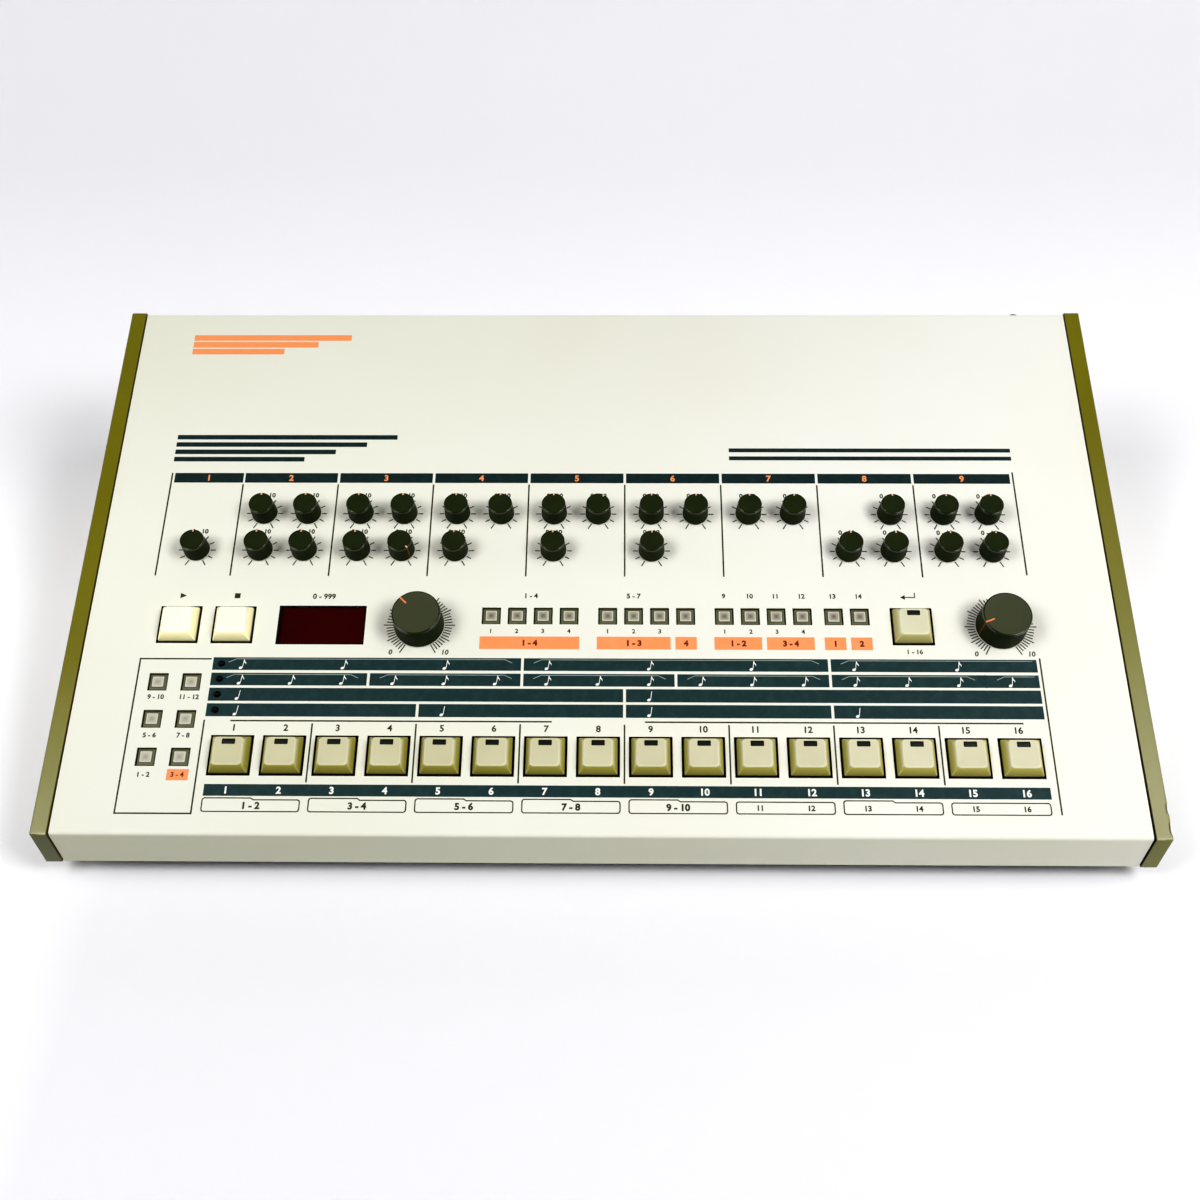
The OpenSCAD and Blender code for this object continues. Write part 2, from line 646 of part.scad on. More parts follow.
module power_supply() translate([core_x, core_y, floor_z]) {
    window_w = (core_w - 4 * limb_w) / 2;
    window_h = core_h - 2 * limb_w;
    window_x = limb_w + window_w / 2;
    base_t = 1.5;
    color([0.55, 0.56, 0.58]) difference() {
        translate([-core_w / 2 - 8, -core_d / 2, 0]) cube([core_w + 16, core_d, base_t]);
        for (side = [-1, 1]) translate([side * (core_w / 2 + 4), 0, -1])
            cylinder(d = screw_d + 2 * screw_gap, h = base_t + 2, $fn = 24);
    }
    color([0.35, 0.35, 0.37]) difference() {
        translate([-core_w / 2, -core_d / 2, base_t]) cube([core_w, core_d, core_h]);
        for (side = [-1, 1]) translate([side * window_x, 0, base_t + core_h / 2])
            cube([window_w, core_d + 2, window_h], center = true);
    }
    color([0.75, 0.55, 0.2]) translate([0, 0, base_t + core_h / 2]) difference() {
        coil = 2 * (limb_w + window_w) - 2 * fit_gap;
        cube([coil, core_d + 2 * coil_over, window_h - 2 * fit_gap], center = true);
        cube([2 * limb_w + 2 * fit_gap, core_d + 2 * fit_gap, window_h + 1], center = true);
    }
}

// ---------------------------------------------------------------- rear sockets

module jack_socket() difference() {
    union() {
        translate([0, 0, -rear_t]) cylinder(d = jack_barrel_d, h = rear_t + jack_nut_t, $fn = 48);
        cylinder(d = jack_nut_d, h = jack_nut_t, $fn = 6);
        translate([-jack_box_w / 2, -jack_box_w / 2, -rear_t - jack_bore_len])
            cube([jack_box_w, jack_box_w, jack_bore_len]);
    }
    translate([0, 0, jack_nut_t - jack_bore_len]) cylinder(d = jack_bore_d, h = jack_bore_len + 1, $fn = 48);
}
module data_socket() difference() {
    box_w = data_collar_d + 3;
    union() {
        translate([0, 0, -rear_t]) cylinder(d = data_collar_d, h = rear_t + 0.6, $fn = 64);
        translate([-box_w / 2, -box_w / 2, -rear_t - 14]) cube([box_w, box_w, 14]);
    }
    translate([0, 0, 0.6 - data_bore_len]) cylinder(d = data_bore_d, h = data_bore_len + 1, $fn = 64);
    for (a = [0:45:180]) rotate(a) translate([3.5, 0, -data_bore_len - 3])
        cylinder(d = 1.6, h = 5, $fn = 16);
}
module mains_inlet() {
    wall = inlet_box(-fit_gap, inlet_deep + 8);
    difference() {
        translate([-wall.x / 2, -wall.y / 2, -wall.z]) cube(wall);
        translate([0, 0, -inlet_deep / 2 + 0.5]) {
            cube([inlet_w - inlet_h, inlet_h, inlet_deep + 1], center = true);
            for (side = [-1, 1]) translate([side * (inlet_w - inlet_h) / 2, 0, 0])
                cylinder(d = inlet_h, h = inlet_deep + 1, center = true, $fn = 48);
        }
    }
    for (side = [-1, 1]) translate([side * inlet_pitch / 2, 0, -inlet_deep - 2])
        cylinder(d = inlet_pin_d, h = inlet_deep, $fn = 24);
}
module power_switch() difference() {
    collar = power_collar_d();
    deep = power_travel + 12;
    union() {
        translate([0, 0, -rear_t]) cylinder(d = collar, h = rear_t + 1, $fn = 48);
        translate([-collar / 2, -collar / 2, -rear_t - deep]) cube([collar, collar, deep]);
    }
    translate([0, 0, -rear_t - deep + 2]) cylinder(d = power_d + 2 * run_gap, h = deep + rear_t, $fn = 64);
}
module rear_sockets() {
    color([0.15, 0.15, 0.15]) for (x = jack_xs()) on_rear(x, socket_drop) jack_socket();
    color([0.15, 0.15, 0.15]) for (x = data_xs()) on_rear(x, socket_drop) data_socket();
    color([0.1, 0.1, 0.1]) on_rear(inlet_x, socket_drop) mains_inlet();
    color([0.1, 0.1, 0.1]) on_rear(power_x, power_drop) power_switch();
}

// ---------------------------------------------------------------- moving controls

module power_button() color([0.05, 0.05, 0.05]) on_rear(power_x, power_drop) {
    edge = 0.6;
    translate([0, 0, -rear_t - 7]) cylinder(d = power_d, h = rear_t + 7 + power_rise - edge, $fn = 64);
    translate([0, 0, power_rise - edge]) cylinder(d1 = power_d, d2 = power_d - 2 * edge, h = edge, $fn = 64);
}

// Rounded square plate
module soft_square(w, d, r, h) translate([0, 0, -h / 2]) linear_extrude(h)
    polygon(round_corners([[-w, -d] / 2, [w, -d] / 2, [w, d] / 2, [-w, d] / 2], [r, r, r, r], 4));

module key_cap(lamp) {
    slice = 0.01;
    lean = 0.25;
    lamp_y = lean + key_top_d / 2 - lamp_d / 2 - 1.1;
    difference() {
        union() {
            translate([0, 0, -key_skirt]) linear_extrude(key_skirt + 0.6)
                square(key_cap_w, center = true);
            hull() {
                translate([0, 0, 0.6]) soft_square(key_cap_w, key_cap_w, 0.3, slice);
                translate([0, lean, key_rise - slice / 2])
                    soft_square(key_top_w, key_top_d, key_edge_r, slice);
            }
        }
        translate([0, 0, -key_skirt + (key_skirt + 2) / 2 - 0.5])
            cube([key_cap_w - 2 * key_wall, key_cap_w - 2 * key_wall, key_skirt + 3], center = true);
        if (lamp) translate([0, lamp_y, key_rise])
            cube([lamp_w + 2 * seat_gap, lamp_d + 2 * seat_gap, 2 * lamp_back], center = true);
    }
    stem_top = 2.5;
    stem_low = board_z + switch_h - stem_bite;
    translate([0, 0, stem_low]) cylinder(d = key_stem_d, h = stem_top - stem_low, $fn = 32);
    if (lamp) translate([0, lamp_y, key_rise - lamp_back / 2])
        cube([lamp_w, lamp_d, lamp_back - 2 * seat_gap], center = true);
}
module step_keys(c) color([0.83, 0.82, 0.69]) on_cover()
    for (i = [2 * c, 2 * c + 1]) translate([step_x(i), step_v, 0]) key_cap(true);
module plain_key(x) color([0.95, 0.93, 0.85]) on_cover() translate([x, control_v, 0]) key_cap(false);
module start_key() plain_key(start_x);
module stop_key() plain_key(stop_x);
module enter_key() color([0.83, 0.82, 0.69]) on_cover() translate([enter_x, control_v, 0]) key_cap(true);

module button() {
    slice = 0.01;
    bevel = 0.5;
    lens_seat = 0.6;
    top = -button_sink;
    color([0.43, 0.43, 0.3]) {
        difference() {
            union() {
                translate([0, 0, -button_skirt]) linear_extrude(button_skirt + top - bevel)
                    square(button_w, center = true);
                hull() {
                    translate([0, 0, top - bevel]) cube([button_w, button_w, slice], center = true);
                    translate([0, 0, top - slice / 2])
                        cube([button_top_w, button_top_w, slice], center = true);
                }
            }
            translate([0, 0, top]) cube([button_lens_w, button_lens_w, 2 * lens_seat], center = true);
        }
        stem_low = board_z + tact_h - stem_bite;
        translate([0, 0, stem_low]) cylinder(d = button_stem_d, h = 0.5 - button_skirt - stem_low, $fn = 32);
    }
    color([0.75, 0.75, 0.68]) translate([0, 0, top - lens_seat + seat_gap])
        linear_extrude(button_rise - top + lens_seat - seat_gap)
        square(button_lens_w - 2 * seat_gap, center = true);
}
module button_bank(b) on_cover() at_each(bank_places[b]) button();
module corner_buttons() on_cover() at_each(corner_places) button();

// A tapered knob with a pointer groove, moulded on its spindle
module knob(foot, top, h, spindle, turn) color([0.18, 0.19, 0.15]) rotate(turn) {
    edge = 0.5;
    hollow = 2;
    difference() {
        translate([0, 0, knob_lift]) union() {
            cylinder(d1 = foot, d2 = top, h = h - edge, $fn = 64);
            translate([0, 0, h - edge]) cylinder(d1 = top, d2 = top - 2 * edge, h = edge, $fn = 64);
        }
        translate([0, 0, knob_lift - 1]) cylinder(d = foot - 3, h = hollow + 1, $fn = 48);
        translate([-pointer_w / 2, top / 2 - pointer_deep, knob_lift + 0.6])
            cube([pointer_w, foot, h]);
        translate([-pointer_w / 2, top * 0.3, knob_lift + h - pointer_deep])
            cube([pointer_w, foot, h]);
    }
    spindle_low = board_z + pot_floor + spindle_gap;
    translate([0, 0, spindle_low])
        cylinder(d = spindle, h = knob_lift + hollow + 1 - spindle_low, $fn = 48);
}
module small_knob(x, v, turn) on_cover() translate([x, v, 0])
    knob(knob_d, knob_top_d, knob_h, spindle_d, turn);
module dial(x, turn) on_cover() translate([x, control_v, 0])
    knob(dial_d, dial_top_d, dial_h, dial_spindle_d, turn);
module tempo_knob() dial(tempo_x, tempo_turn);
module volume_knob() dial(volume_x, volume_turn);

// ---------------------------------------------------------------- output

top_cover();
left_side_panel();
right_side_panel();
bottom_chassis();
rear_panel();
rubber_feet();
case_screws();
display_window();
panel_board();
potentiometers();
key_switches();
main_board();
power_supply();
rear_sockets();
power_button();
start_key();
stop_key();
enter_key();
tempo_knob();
volume_knob();
corner_buttons();
for (i = [0:len(upper_knobs) - 1])
    small_knob(upper_x(i), upper_v, upper_turn(i));
for (i = [0:lower_count - 1])
    small_knob(lower_x(i), lower_v, lower_turn(i));
for (c = [0:column_count - 1])
    step_keys(c);
for (b = [0:len(bank_x) - 1])
    button_bank(b);
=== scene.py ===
import json
import math

import bmesh
import bpy
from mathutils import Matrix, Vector


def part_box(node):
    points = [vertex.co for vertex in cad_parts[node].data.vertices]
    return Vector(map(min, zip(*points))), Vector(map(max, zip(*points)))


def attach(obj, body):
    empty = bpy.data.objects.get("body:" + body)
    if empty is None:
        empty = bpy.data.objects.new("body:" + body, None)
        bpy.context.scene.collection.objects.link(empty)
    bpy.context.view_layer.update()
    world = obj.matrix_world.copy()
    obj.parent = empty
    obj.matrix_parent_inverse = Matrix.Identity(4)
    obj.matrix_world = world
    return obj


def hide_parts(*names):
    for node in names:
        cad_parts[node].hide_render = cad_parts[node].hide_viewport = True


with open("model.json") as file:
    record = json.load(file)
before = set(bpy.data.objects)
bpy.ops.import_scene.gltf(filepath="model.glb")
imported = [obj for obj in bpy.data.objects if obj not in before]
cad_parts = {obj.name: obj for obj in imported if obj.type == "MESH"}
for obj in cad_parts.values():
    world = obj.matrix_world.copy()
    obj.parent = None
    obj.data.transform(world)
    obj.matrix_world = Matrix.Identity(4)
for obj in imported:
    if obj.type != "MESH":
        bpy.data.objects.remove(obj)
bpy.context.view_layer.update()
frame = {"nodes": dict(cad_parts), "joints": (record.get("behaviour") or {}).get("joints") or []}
scene = bpy.context.scene

# Camera. It stands half a metre above the table, a little in front of the machine, and looks down on
# the control panel. The lens shift keeps the whole front edge in the frame.
lens = bpy.data.cameras.new("front_camera")
lens.sensor_width, lens.lens, lens.shift_y = 36, 38.97, 0.0885
camera = bpy.data.objects.new("front_camera", lens)
camera.location = 0.007774, -0.453048, 0.500084
camera.rotation_euler = [math.radians(angle) for angle in (38.798, 0.4434, 0.6330)]
scene.collection.objects.link(camera)
scene.camera = camera


# Studio paper. A sheet of matt white paper lies under the machine and curves up behind it. It is
# part of the studio and not of the machine.
class Wire:
    """One socket of a finish, so that sums on it read as plain arithmetic."""

    def __init__(self, finish, socket):
        self.finish, self.socket = finish, socket

    def maths(self, operation, *values):
        return self.finish.node("Math", {"operation": operation}, dict(enumerate(values)))

    def __add__(self, other):
        return self.maths("ADD", self, other)

    def __sub__(self, other):
        return self.maths("SUBTRACT", self, other)

    def __rsub__(self, other):
        return self.maths("SUBTRACT", other, self)

    def __mul__(self, other):
        return self.maths("MULTIPLY", self, other)

    def __gt__(self, other):
        return self.maths("GREATER_THAN", self, other)

    def __lt__(self, other):
        return self.maths("LESS_THAN", self, other)

    __radd__, __rmul__ = __add__, __mul__


class Finish:
    """A material made of nodes. What it is given by name goes to the shader's sockets."""

    def __init__(self, name, **sockets):
        self.material = bpy.data.materials.new(name)
        self.material.use_nodes = True
        self.tree = self.material.node_tree
        self.shader = self.tree.nodes["Principled BSDF"]
        self.give(**sockets)

    def plug(self, socket, value):
        if isinstance(value, Wire):
            self.tree.links.new(value.socket, socket)
        elif socket.type == "RGBA":
            socket.default_value = (*value, 1)
        else:
            socket.default_value = value

    def give(self, **sockets):
        for socket, value in sockets.items():
            self.plug(self.shader.inputs[socket.replace("_", " ")], value)

    def node(self, kind, settings=None, inputs=None, output=0):
        made = self.tree.nodes.new("ShaderNode" + kind)
        for setting, value in (settings or {}).items():
            if setting == "stops":
                for k, (place, colour) in enumerate(value):
                    stop = made.color_ramp.elements[k] if k < 2 else made.color_ramp.elements.new(place)
                    stop.position, stop.color = place, (*colour, 1)
            else:
                setattr(made, setting, value)
        for socket, value in (inputs or {}).items():
            self.plug(made.inputs[socket], value)
        return Wire(self, made.outputs[output])

    def place(self):
        return self.node("TexCoord", output=3)

    def spot(self):
        """Where a point lies along x, y and z, in metres."""
        return [Wire(self, socket) for socket in
                self.node("SeparateXYZ", None, {0: self.place()}).socket.node.outputs]

    def along(self, direction):
        """How far a point lies along a direction, in metres."""
        return self.node("VectorMath", {"operation": "DOT_PRODUCT"}, {0: self.place(), 1: direction}, 1)

    def tone(self):
        """The number that a mesh keeps at each of its points."""
        return self.node("Attribute", {"attribute_name": "tone"}, output=2)

    def noise(self, scale, detail=2):
        return self.node("TexNoise", None, {"Vector": self.place(), "Scale": scale, "Detail": detail})

    def spread(self, value, low, high):
        """Stretches what lies between low and high to the range from 0 to 1."""
        return self.node("MapRange", {"clamp": True}, {0: value, 1: low, 2: high})

    def patches(self, scale, detail, low, high):
        """Soft patches of noise: 0 where it is under low, and 1 where it is over high."""
        return self.spread(self.noise(scale, detail), low, high)

    def mix(self, share, one, other, way="MIX"):
        return self.node(
            "Mix", {"data_type": "RGBA", "blend_type": way}, {0: share, 6: one, 7: other}, 2)

    def shaded(self, share, colour, shade):
        """The colour, multiplied by the shade where the share is 1."""
        return self.mix(share, colour, shade, "MULTIPLY")

    def ramp(self, value, *stops):
        return self.node("ValToRGB", {"stops": stops}, {0: value})

    def grain(self, scale, detail, depth):
        """A fine grain in the surface, this deep in metres."""
        return self.node(
            "Bump", None, {"Strength": 1, "Distance": depth, "Height": self.noise(scale, detail)})


paper_half, curve_start, curve_r, paper_top, curve_steps = 3.0, 0.46, 0.5, 0.8, 16
paper_line = [(-paper_half, 0.0)]
for step in range(curve_steps + 1):
    angle = step / curve_steps * math.pi / 2
    paper_line.append((curve_start + curve_r * math.sin(angle), curve_r - curve_r * math.cos(angle)))
paper_line.append((curve_start + curve_r, paper_top))
paper_mesh = bpy.data.meshes.new("studio_paper")
paper_mesh.from_pydata(
    [(side * paper_half, y, z) for y, z in paper_line for side in (-1, 1)], [],
    [(2 * k, 2 * k + 1, 2 * k + 3, 2 * k + 2) for k in range(len(paper_line) - 1)])
paper_mesh.shade_smooth()
paper = bpy.data.objects.new("studio_paper", paper_mesh)
scene.collection.objects.link(paper)
paper_finish = Finish("white_paper", Roughness=0.9, Emission_Strength=1)
paper_x, paper_y = paper_finish.spot()[:2]
# painted light: beside the machine, on both sides and towards the front, the paper glows a little,
# which lightens the machine's shadow there
glow_start, glow_full, painted_glow = 0.22, 0.27, 0.11
beside = (paper_finish.spread(paper_x, glow_start, glow_full)
          + paper_finish.spread(paper_x, -glow_start, -glow_full))
paper_finish.give(
    Emission_Color=beside * paper_finish.spread(paper_y, 0.14, 0.02) * painted_glow,
    # in front of the machine the paper is darker, a painted shade that sends less light back onto the
    # front face
    Base_Color=paper_finish.mix(
        paper_finish.spread(paper_y, -0.17, -0.02), (0.80, 0.795, 0.82),
        paper_finish.mix(paper_finish.noise(3), (0.92, 0.915, 0.945), (0.945, 0.94, 0.965))),
    Normal=paper_finish.grain(900, 3, 0.00005))
paper_mesh.materials.append(paper_finish.material)


# Studio light. A soft light stands on each side, in front of the machine, with a weaker one above it
# and another low beside the paper, and the white room sends back the rest.
def soft_light(name, place, aim, width, depth, power):
    lamp = bpy.data.lights.new(name, "AREA")
    lamp.shape, lamp.size, lamp.size_y, lamp.energy = "RECTANGLE", width, depth, power
    holder = bpy.data.objects.new(name, lamp)
    holder.location = place
    holder.rotation_euler = (Vector(aim) - Vector(place)).to_track_quat("-Z", "Y").to_euler()
    scene.collection.objects.link(holder)


soft_light("left_soft_light", (-0.80, -0.52, 1.10), (0, -0.02, 0.05), 0.52, 0.52, 6.1)
soft_light("right_soft_light", (0.84, -0.53, 1.10), (0, -0.02, 0.05), 0.52, 0.52, 9.4)
soft_light("left_top_light", (-0.86, -0.16, 1.4), (-0.24, -0.15, 0), 0.36, 0.3, 1.7)
soft_light("right_top_light", (0.86, -0.03, 1.4), (0.24, -0.15, 0), 0.36, 0.36, 2.2)
soft_light("left_low_light", (-1.35, 0.12, 0.5), (0, 0.2, 0), 1.0, 0.5, 1.5)
soft_light("right_low_light", (1.35, 0.12, 0.5), (0, 0.2, 0), 1.0, 0.5, 0.8)
room = bpy.data.worlds.new("white_room")
room.use_nodes = True
room.node_tree.nodes["Background"].inputs["Color"].default_value = (1, 1, 1, 1)
room.node_tree.nodes["Background"].inputs["Strength"].default_value = 0.075
scene.world = room
scene.view_settings.view_transform, scene.view_settings.look = "Standard", "High Contrast"

# Ivory cover. One moulding with the sloping panel and the front face, bent over at the front edge.
# It is satin plastic with a fine grain, a little yellowed, and is screwed to the chassis from below.
MM = 0.001
control_v = 102
joints = {joint["name"]: joint for joint in frame["joints"]}
panel_up = Vector(joints["tempo_knob_turn"]["axis"])
panel_back = Vector((0, panel_up.z, -panel_up.y))
tempo_place = Vector(joints["tempo_knob_turn"]["pos_m"])
panel_start = Vector((0, tempo_place.y, tempo_place.z)) - panel_back * control_v * MM


def on_panel(x, v, h):
    """Metres, from millimetres across the panel, up its slope, and out of the cover's surface."""
    return panel_start + (Vector((x, 0, 0)) + panel_back * v + panel_up * h) * MM


def dress(node, finish):
    """Gives a CAD node its finish."""
    mesh = frame["nodes"][node].data
    mesh.materials.clear()
    mesh.materials.append(finish.material)


front_y = panel_start.y
front_bend = front_y + 0.2 * MM, front_y + 0.9 * MM
ivory = Finish("ivory_moulding", Specular_IOR_Level=0.35)
ivory_x, ivory_y = ivory.spot()[:2]
ivory_colour = ivory.mix(ivory.patches(7, 3, 0.35, 0.7), (0.80, 0.80, 0.71), (0.78, 0.772, 0.665))
# painted light and shade on the cover: a painted shade makes the rear a little darker than the rest
# and the front left corner of the top duller, a painted light makes the right of the top whiter, and a
# painted shade darkens the front face, most on its left
painted_rear_shade = ivory.spread(ivory_y, 0.0, 0.14) * ivory.spread(ivory_x, 0.45, 0.05)
painted_front_left_shade = ivory.spread(ivory_y, -0.04, -0.15) * ivory.spread(ivory_x, 0.15, -0.2)
painted_right_light = ivory.spread(ivory_y, *front_bend) * ivory.spread(ivory_x, -0.1, 0.12)
painted_front_face_shade = ivory.spread(ivory_y, *reversed(front_bend)) * ivory.spread(ivory_x, 0.5, -0.24)
for share, shade in ((painted_rear_shade, (0.90, 0.90, 0.89)), (painted_front_left_shade, (0.94, 0.94, 0.94)),
                     (painted_right_light, (1.02, 1.02, 1.07)), (painted_front_face_shade, (0.62, 0.625, 0.49))):
    ivory_colour = ivory.shaded(share, ivory_colour, shade)
ivory.give(
    Base_Color=ivory_colour,
    Roughness=0.46 + ivory.noise(60, 4) * 0.12,
    Normal=ivory.grain(2600, 2, 0.00002))
dress("top_cover", ivory)


# Olive side panels. Each is a moulding seven and a half millimetres thick with small rounded corners,
# screwed to the chassis from inside, and the right one is chipped near the front corner. Their colour
# carries painted light: a sheen towards the front, a highlight along the front fold, and shade on the
# front faces, the rounded outer edges, in the chips and in the seam beside the cover.
class Casting:
    """The mesh of one piece. Every point keeps a tone, a number that its finish may use."""

    def __init__(self):
        self.points, self.faces, self.tones = [], [], []

    def loft(self, rings):
        """A closed skin over rings of points, each with its tone or tones, capped at both ends."""
        start, count = len(self.points), len(rings[0][0])
        for ring, tone in rings:
            self.points += ring
            self.tones += tone if isinstance(tone, list) else [tone] * count
        self.faces.append([start + k for k in reversed(range(count))])
        for low in range(start, start + (len(rings) - 1) * count, count):
            for k in range(count):
                after = (k + 1) % count
                self.faces.append([low + k, low + after, low + count + after, low + count + k])
        last = start + (len(rings) - 1) * count
        self.faces.append([last + k for k in range(count)])

    def piece(self, name, finish, body, slot, stands_for=None, sharp=35):
        mesh = bpy.data.meshes.new(name)
        mesh.from_pydata(self.points, [], self.faces)
        mesh.attributes.new("tone", "FLOAT", "POINT").data.foreach_set("value", self.tones)
        mesh.shade_smooth()
        mesh.set_sharp_from_angle(angle=math.radians(sharp))
        mesh.materials.append(finish.material)
        made = bpy.data.objects.new(name, mesh)
        scene.collection.objects.link(made)
        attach(made, body)
        if stands_for:
            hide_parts(stands_for)


def rounded(corners, radii, steps=6):
    """A closed line through the corners, each rounded by its radius."""
    line = []
    for k, (corner, radius) in enumerate(zip(corners, radii)):
        corner = Vector(corner)
        to_last = (Vector(corners[k - 1]) - corner).normalized()
        to_next = (Vector(corners[(k + 1) % len(corners)]) - corner).normalized()
        half = to_last.angle(to_next) / 2
        centre = corner + (to_last + to_next).normalized() * radius / math.sin(half)
        start = corner + to_last * radius / math.tan(half) - centre
        end = corner + to_next * radius / math.tan(half) - centre
        for step in range(steps + 1):
            line.append(centre + start.slerp(end, step / steps) * radius)
    return line


olive = Finish("olive_moulding", Specular_IOR_Level=0.6)
olive_tone = olive.tone()
# a painted highlight: a lighter line along the front fold, where the tone is 2
olive_fold_highlight = olive.patches(160, 4, 0.35, 0.65) * olive_tone
olive_colour = olive.mix(olive.patches(14, 4, 0.3, 0.7), (0.205, 0.188, 0.006), (0.180, 0.163, 0.004))
olive_x, olive_y = olive.spot()[:2]
# a painted sheen makes them lighter towards the front, the right one further back than the left one,
# and a painted shade darkens the front faces, the left one most
olive_front_sheen = ((olive_x > 0) * olive.spread(olive_y, 0.07, -0.12)
         + (olive_x < 0) * olive.spread(olive_y, -0.07, -0.15))
olive_colour = olive.mix(olive_front_sheen, olive_colour, (0.235, 0.226, 0.075))
olive_colour = olive.shaded(olive.spread(olive_y, front_y + 0.3 * MM, front_y - 0.1 * MM), olive_colour,
                            olive.mix(olive_x > 0, (0.30, 0.34, 0.02), (0.63, 0.62, 0.02)))
# painted shade: brown where the tone is under 0, on the rounded outer edges, in the chips and along the
# seam, and black in the seam beside the cover where the tone is lowest
olive_colour = olive.mix(olive.spread(olive_tone, -0.3, -0.9), olive_colour, (0.085, 0.060, 0.010))
olive_colour = olive.mix(olive.spread(olive_tone, -1.1, -1.8), olive_colour, (0.006, 0.005, 0.003))
olive.give(
    Base_Color=olive.mix(olive_fold_highlight, olive_colour, (0.42, 0.40, 0.20)),
    Roughness=0.26 + olive.noise(90, 3) * 0.08,
    Normal=olive.grain(2200, 2, 0.00002))

panel_len, panel_slope = 284.5, math.atan2(-panel_up.y, panel_up.z)
side_proud, side_corners, side_edge = 0.6, (0.8, 1.5, 1.5, 0.8), 0.4
face_inset, edge_depth = 1.3, 1.4
# where the right panel's outer edge is chipped, up the slope, and how deep
side_chips = ((60, 0), (16.8, 0), (15.6, 0.35), (14.2, 0.75), (12.4, 0.6), (11.4, 0), (8.2, 0),
              (7.0, 0.4), (4.6, 0.7), (2.6, 0.5), (1.9, 0))
# the tone in the chips gives them a painted shade, and the tone on the front fold a painted highlight
chip_tone, fold_tone = -1.0, 2.0
# the seam beside the cover: how far it stands open at the rear, how much more at the front, its tone,
# a painted shade, and how much deeper that shade grows towards the front on the right
seam_open, seam_growth, seam_tone, seam_shade_growth, seam_front = 0.12, 1.5, -0.8, 1.25, 60
# tones round the rounded outer edge, from the side face to the top, for a painted shade there
edge_tones = (0.0, -0.6, -0.8, -0.6, -0.2)


def side_line(side, outline, inset, x, tone, chipped=False, seam=False):
    """One line round a side panel, set in from its outline, and the tone of each of its points."""
    top_rear, top_front = outline[2:]
    shrunk = []
    for k, corner in enumerate(outline):
        to_last = (outline[k - 1] - corner).normalized()
        to_next = (outline[(k + 1) % 4] - corner).normalized()
        half = to_last.angle(to_next) / 2
        shrunk.append(corner + (to_last + to_next).normalized() * inset / math.sin(half))
    line = rounded(shrunk, [max(radius - inset, 0.3) for radius in side_corners])
    fold = len(line) * 3 // 4
    ring = [Vector((x, *point)) for point in line]
    tones = [tone] * (fold + 1) + [tone if tone else fold_tone] * 5 + [tone]
    up_slope = (top_rear - top_front) / panel_len
    edge = [Vector((x, *(shrunk[3] + up_slope * v))) for v, depth in side_chips]
    if chipped:
        for point, (v, depth) in zip(edge, side_chips):
            share = inset / side_edge
            point.x -= side * depth * (1 - share)
            point.z -= depth * share
    ring[fold:fold] = edge
    tones[fold:fold] = [chip_tone if chipped and depth else tone for v, depth in side_chips]
    if seam:
        for k, point in enumerate(ring):
            opening = min(max((top_front.x + seam_front - point.y) / seam_front, 0), 1)
            point.x += side * seam_open * (1 + seam_growth * opening)
            # a painted shade that deepens towards the front of the right seam
            if side > 0 and tones[k] < 0:
                tones[k] *= 1 + seam_shade_growth * opening
    return [point * MM for point in ring], tones


for side, node in (-1, "left_side_panel"), (1, "right_side_panel"):
    low, high = (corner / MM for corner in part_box(node))
    top_front = Vector((0, *(on_panel(0, 0, side_proud) / MM).yz)).yz
    top_rear = top_front + Vector((math.cos(panel_slope), math.sin(panel_slope))) * panel_len
    drop = (top_rear.y - low.z) / math.cos(panel_slope)
    bottom_rear = top_rear + Vector((math.sin(panel_slope), -math.cos(panel_slope))) * drop
    outline = [Vector((top_front.x, low.z)), bottom_rear, top_rear, top_front]
    outer_x, inner_x = (low.x, high.x) if side < 0 else (high.x, low.x)
    rings = [(side_line(side, outline, face_inset, outer_x, 0.0)[0], 0.0)]
    for step, tone in enumerate(edge_tones):
        angle = step / (len(edge_tones) - 1) * math.pi / 2
        rings.append(side_line(side, outline, side_edge * (1 - math.sin(angle)),
                               outer_x - side * side_edge * (1 - math.cos(angle)), tone, side > 0))
    rings.append(side_line(side, outline, 0, outer_x - side * edge_depth, 0.0))
    for inset, depth, tone in (0, 0.35, 0.0), (0, 0.2, seam_tone / 2), (0.2, 0, seam_tone):
        rings.append(side_line(side, outline, inset, inner_x + side * depth, tone, seam=True))
    if side > 0:
        rings.reverse()
    moulding = Casting()
    moulding.loft(rings)
    moulding.piece(node.replace("panel", "moulding"), olive, "case", "olive_panel", node)


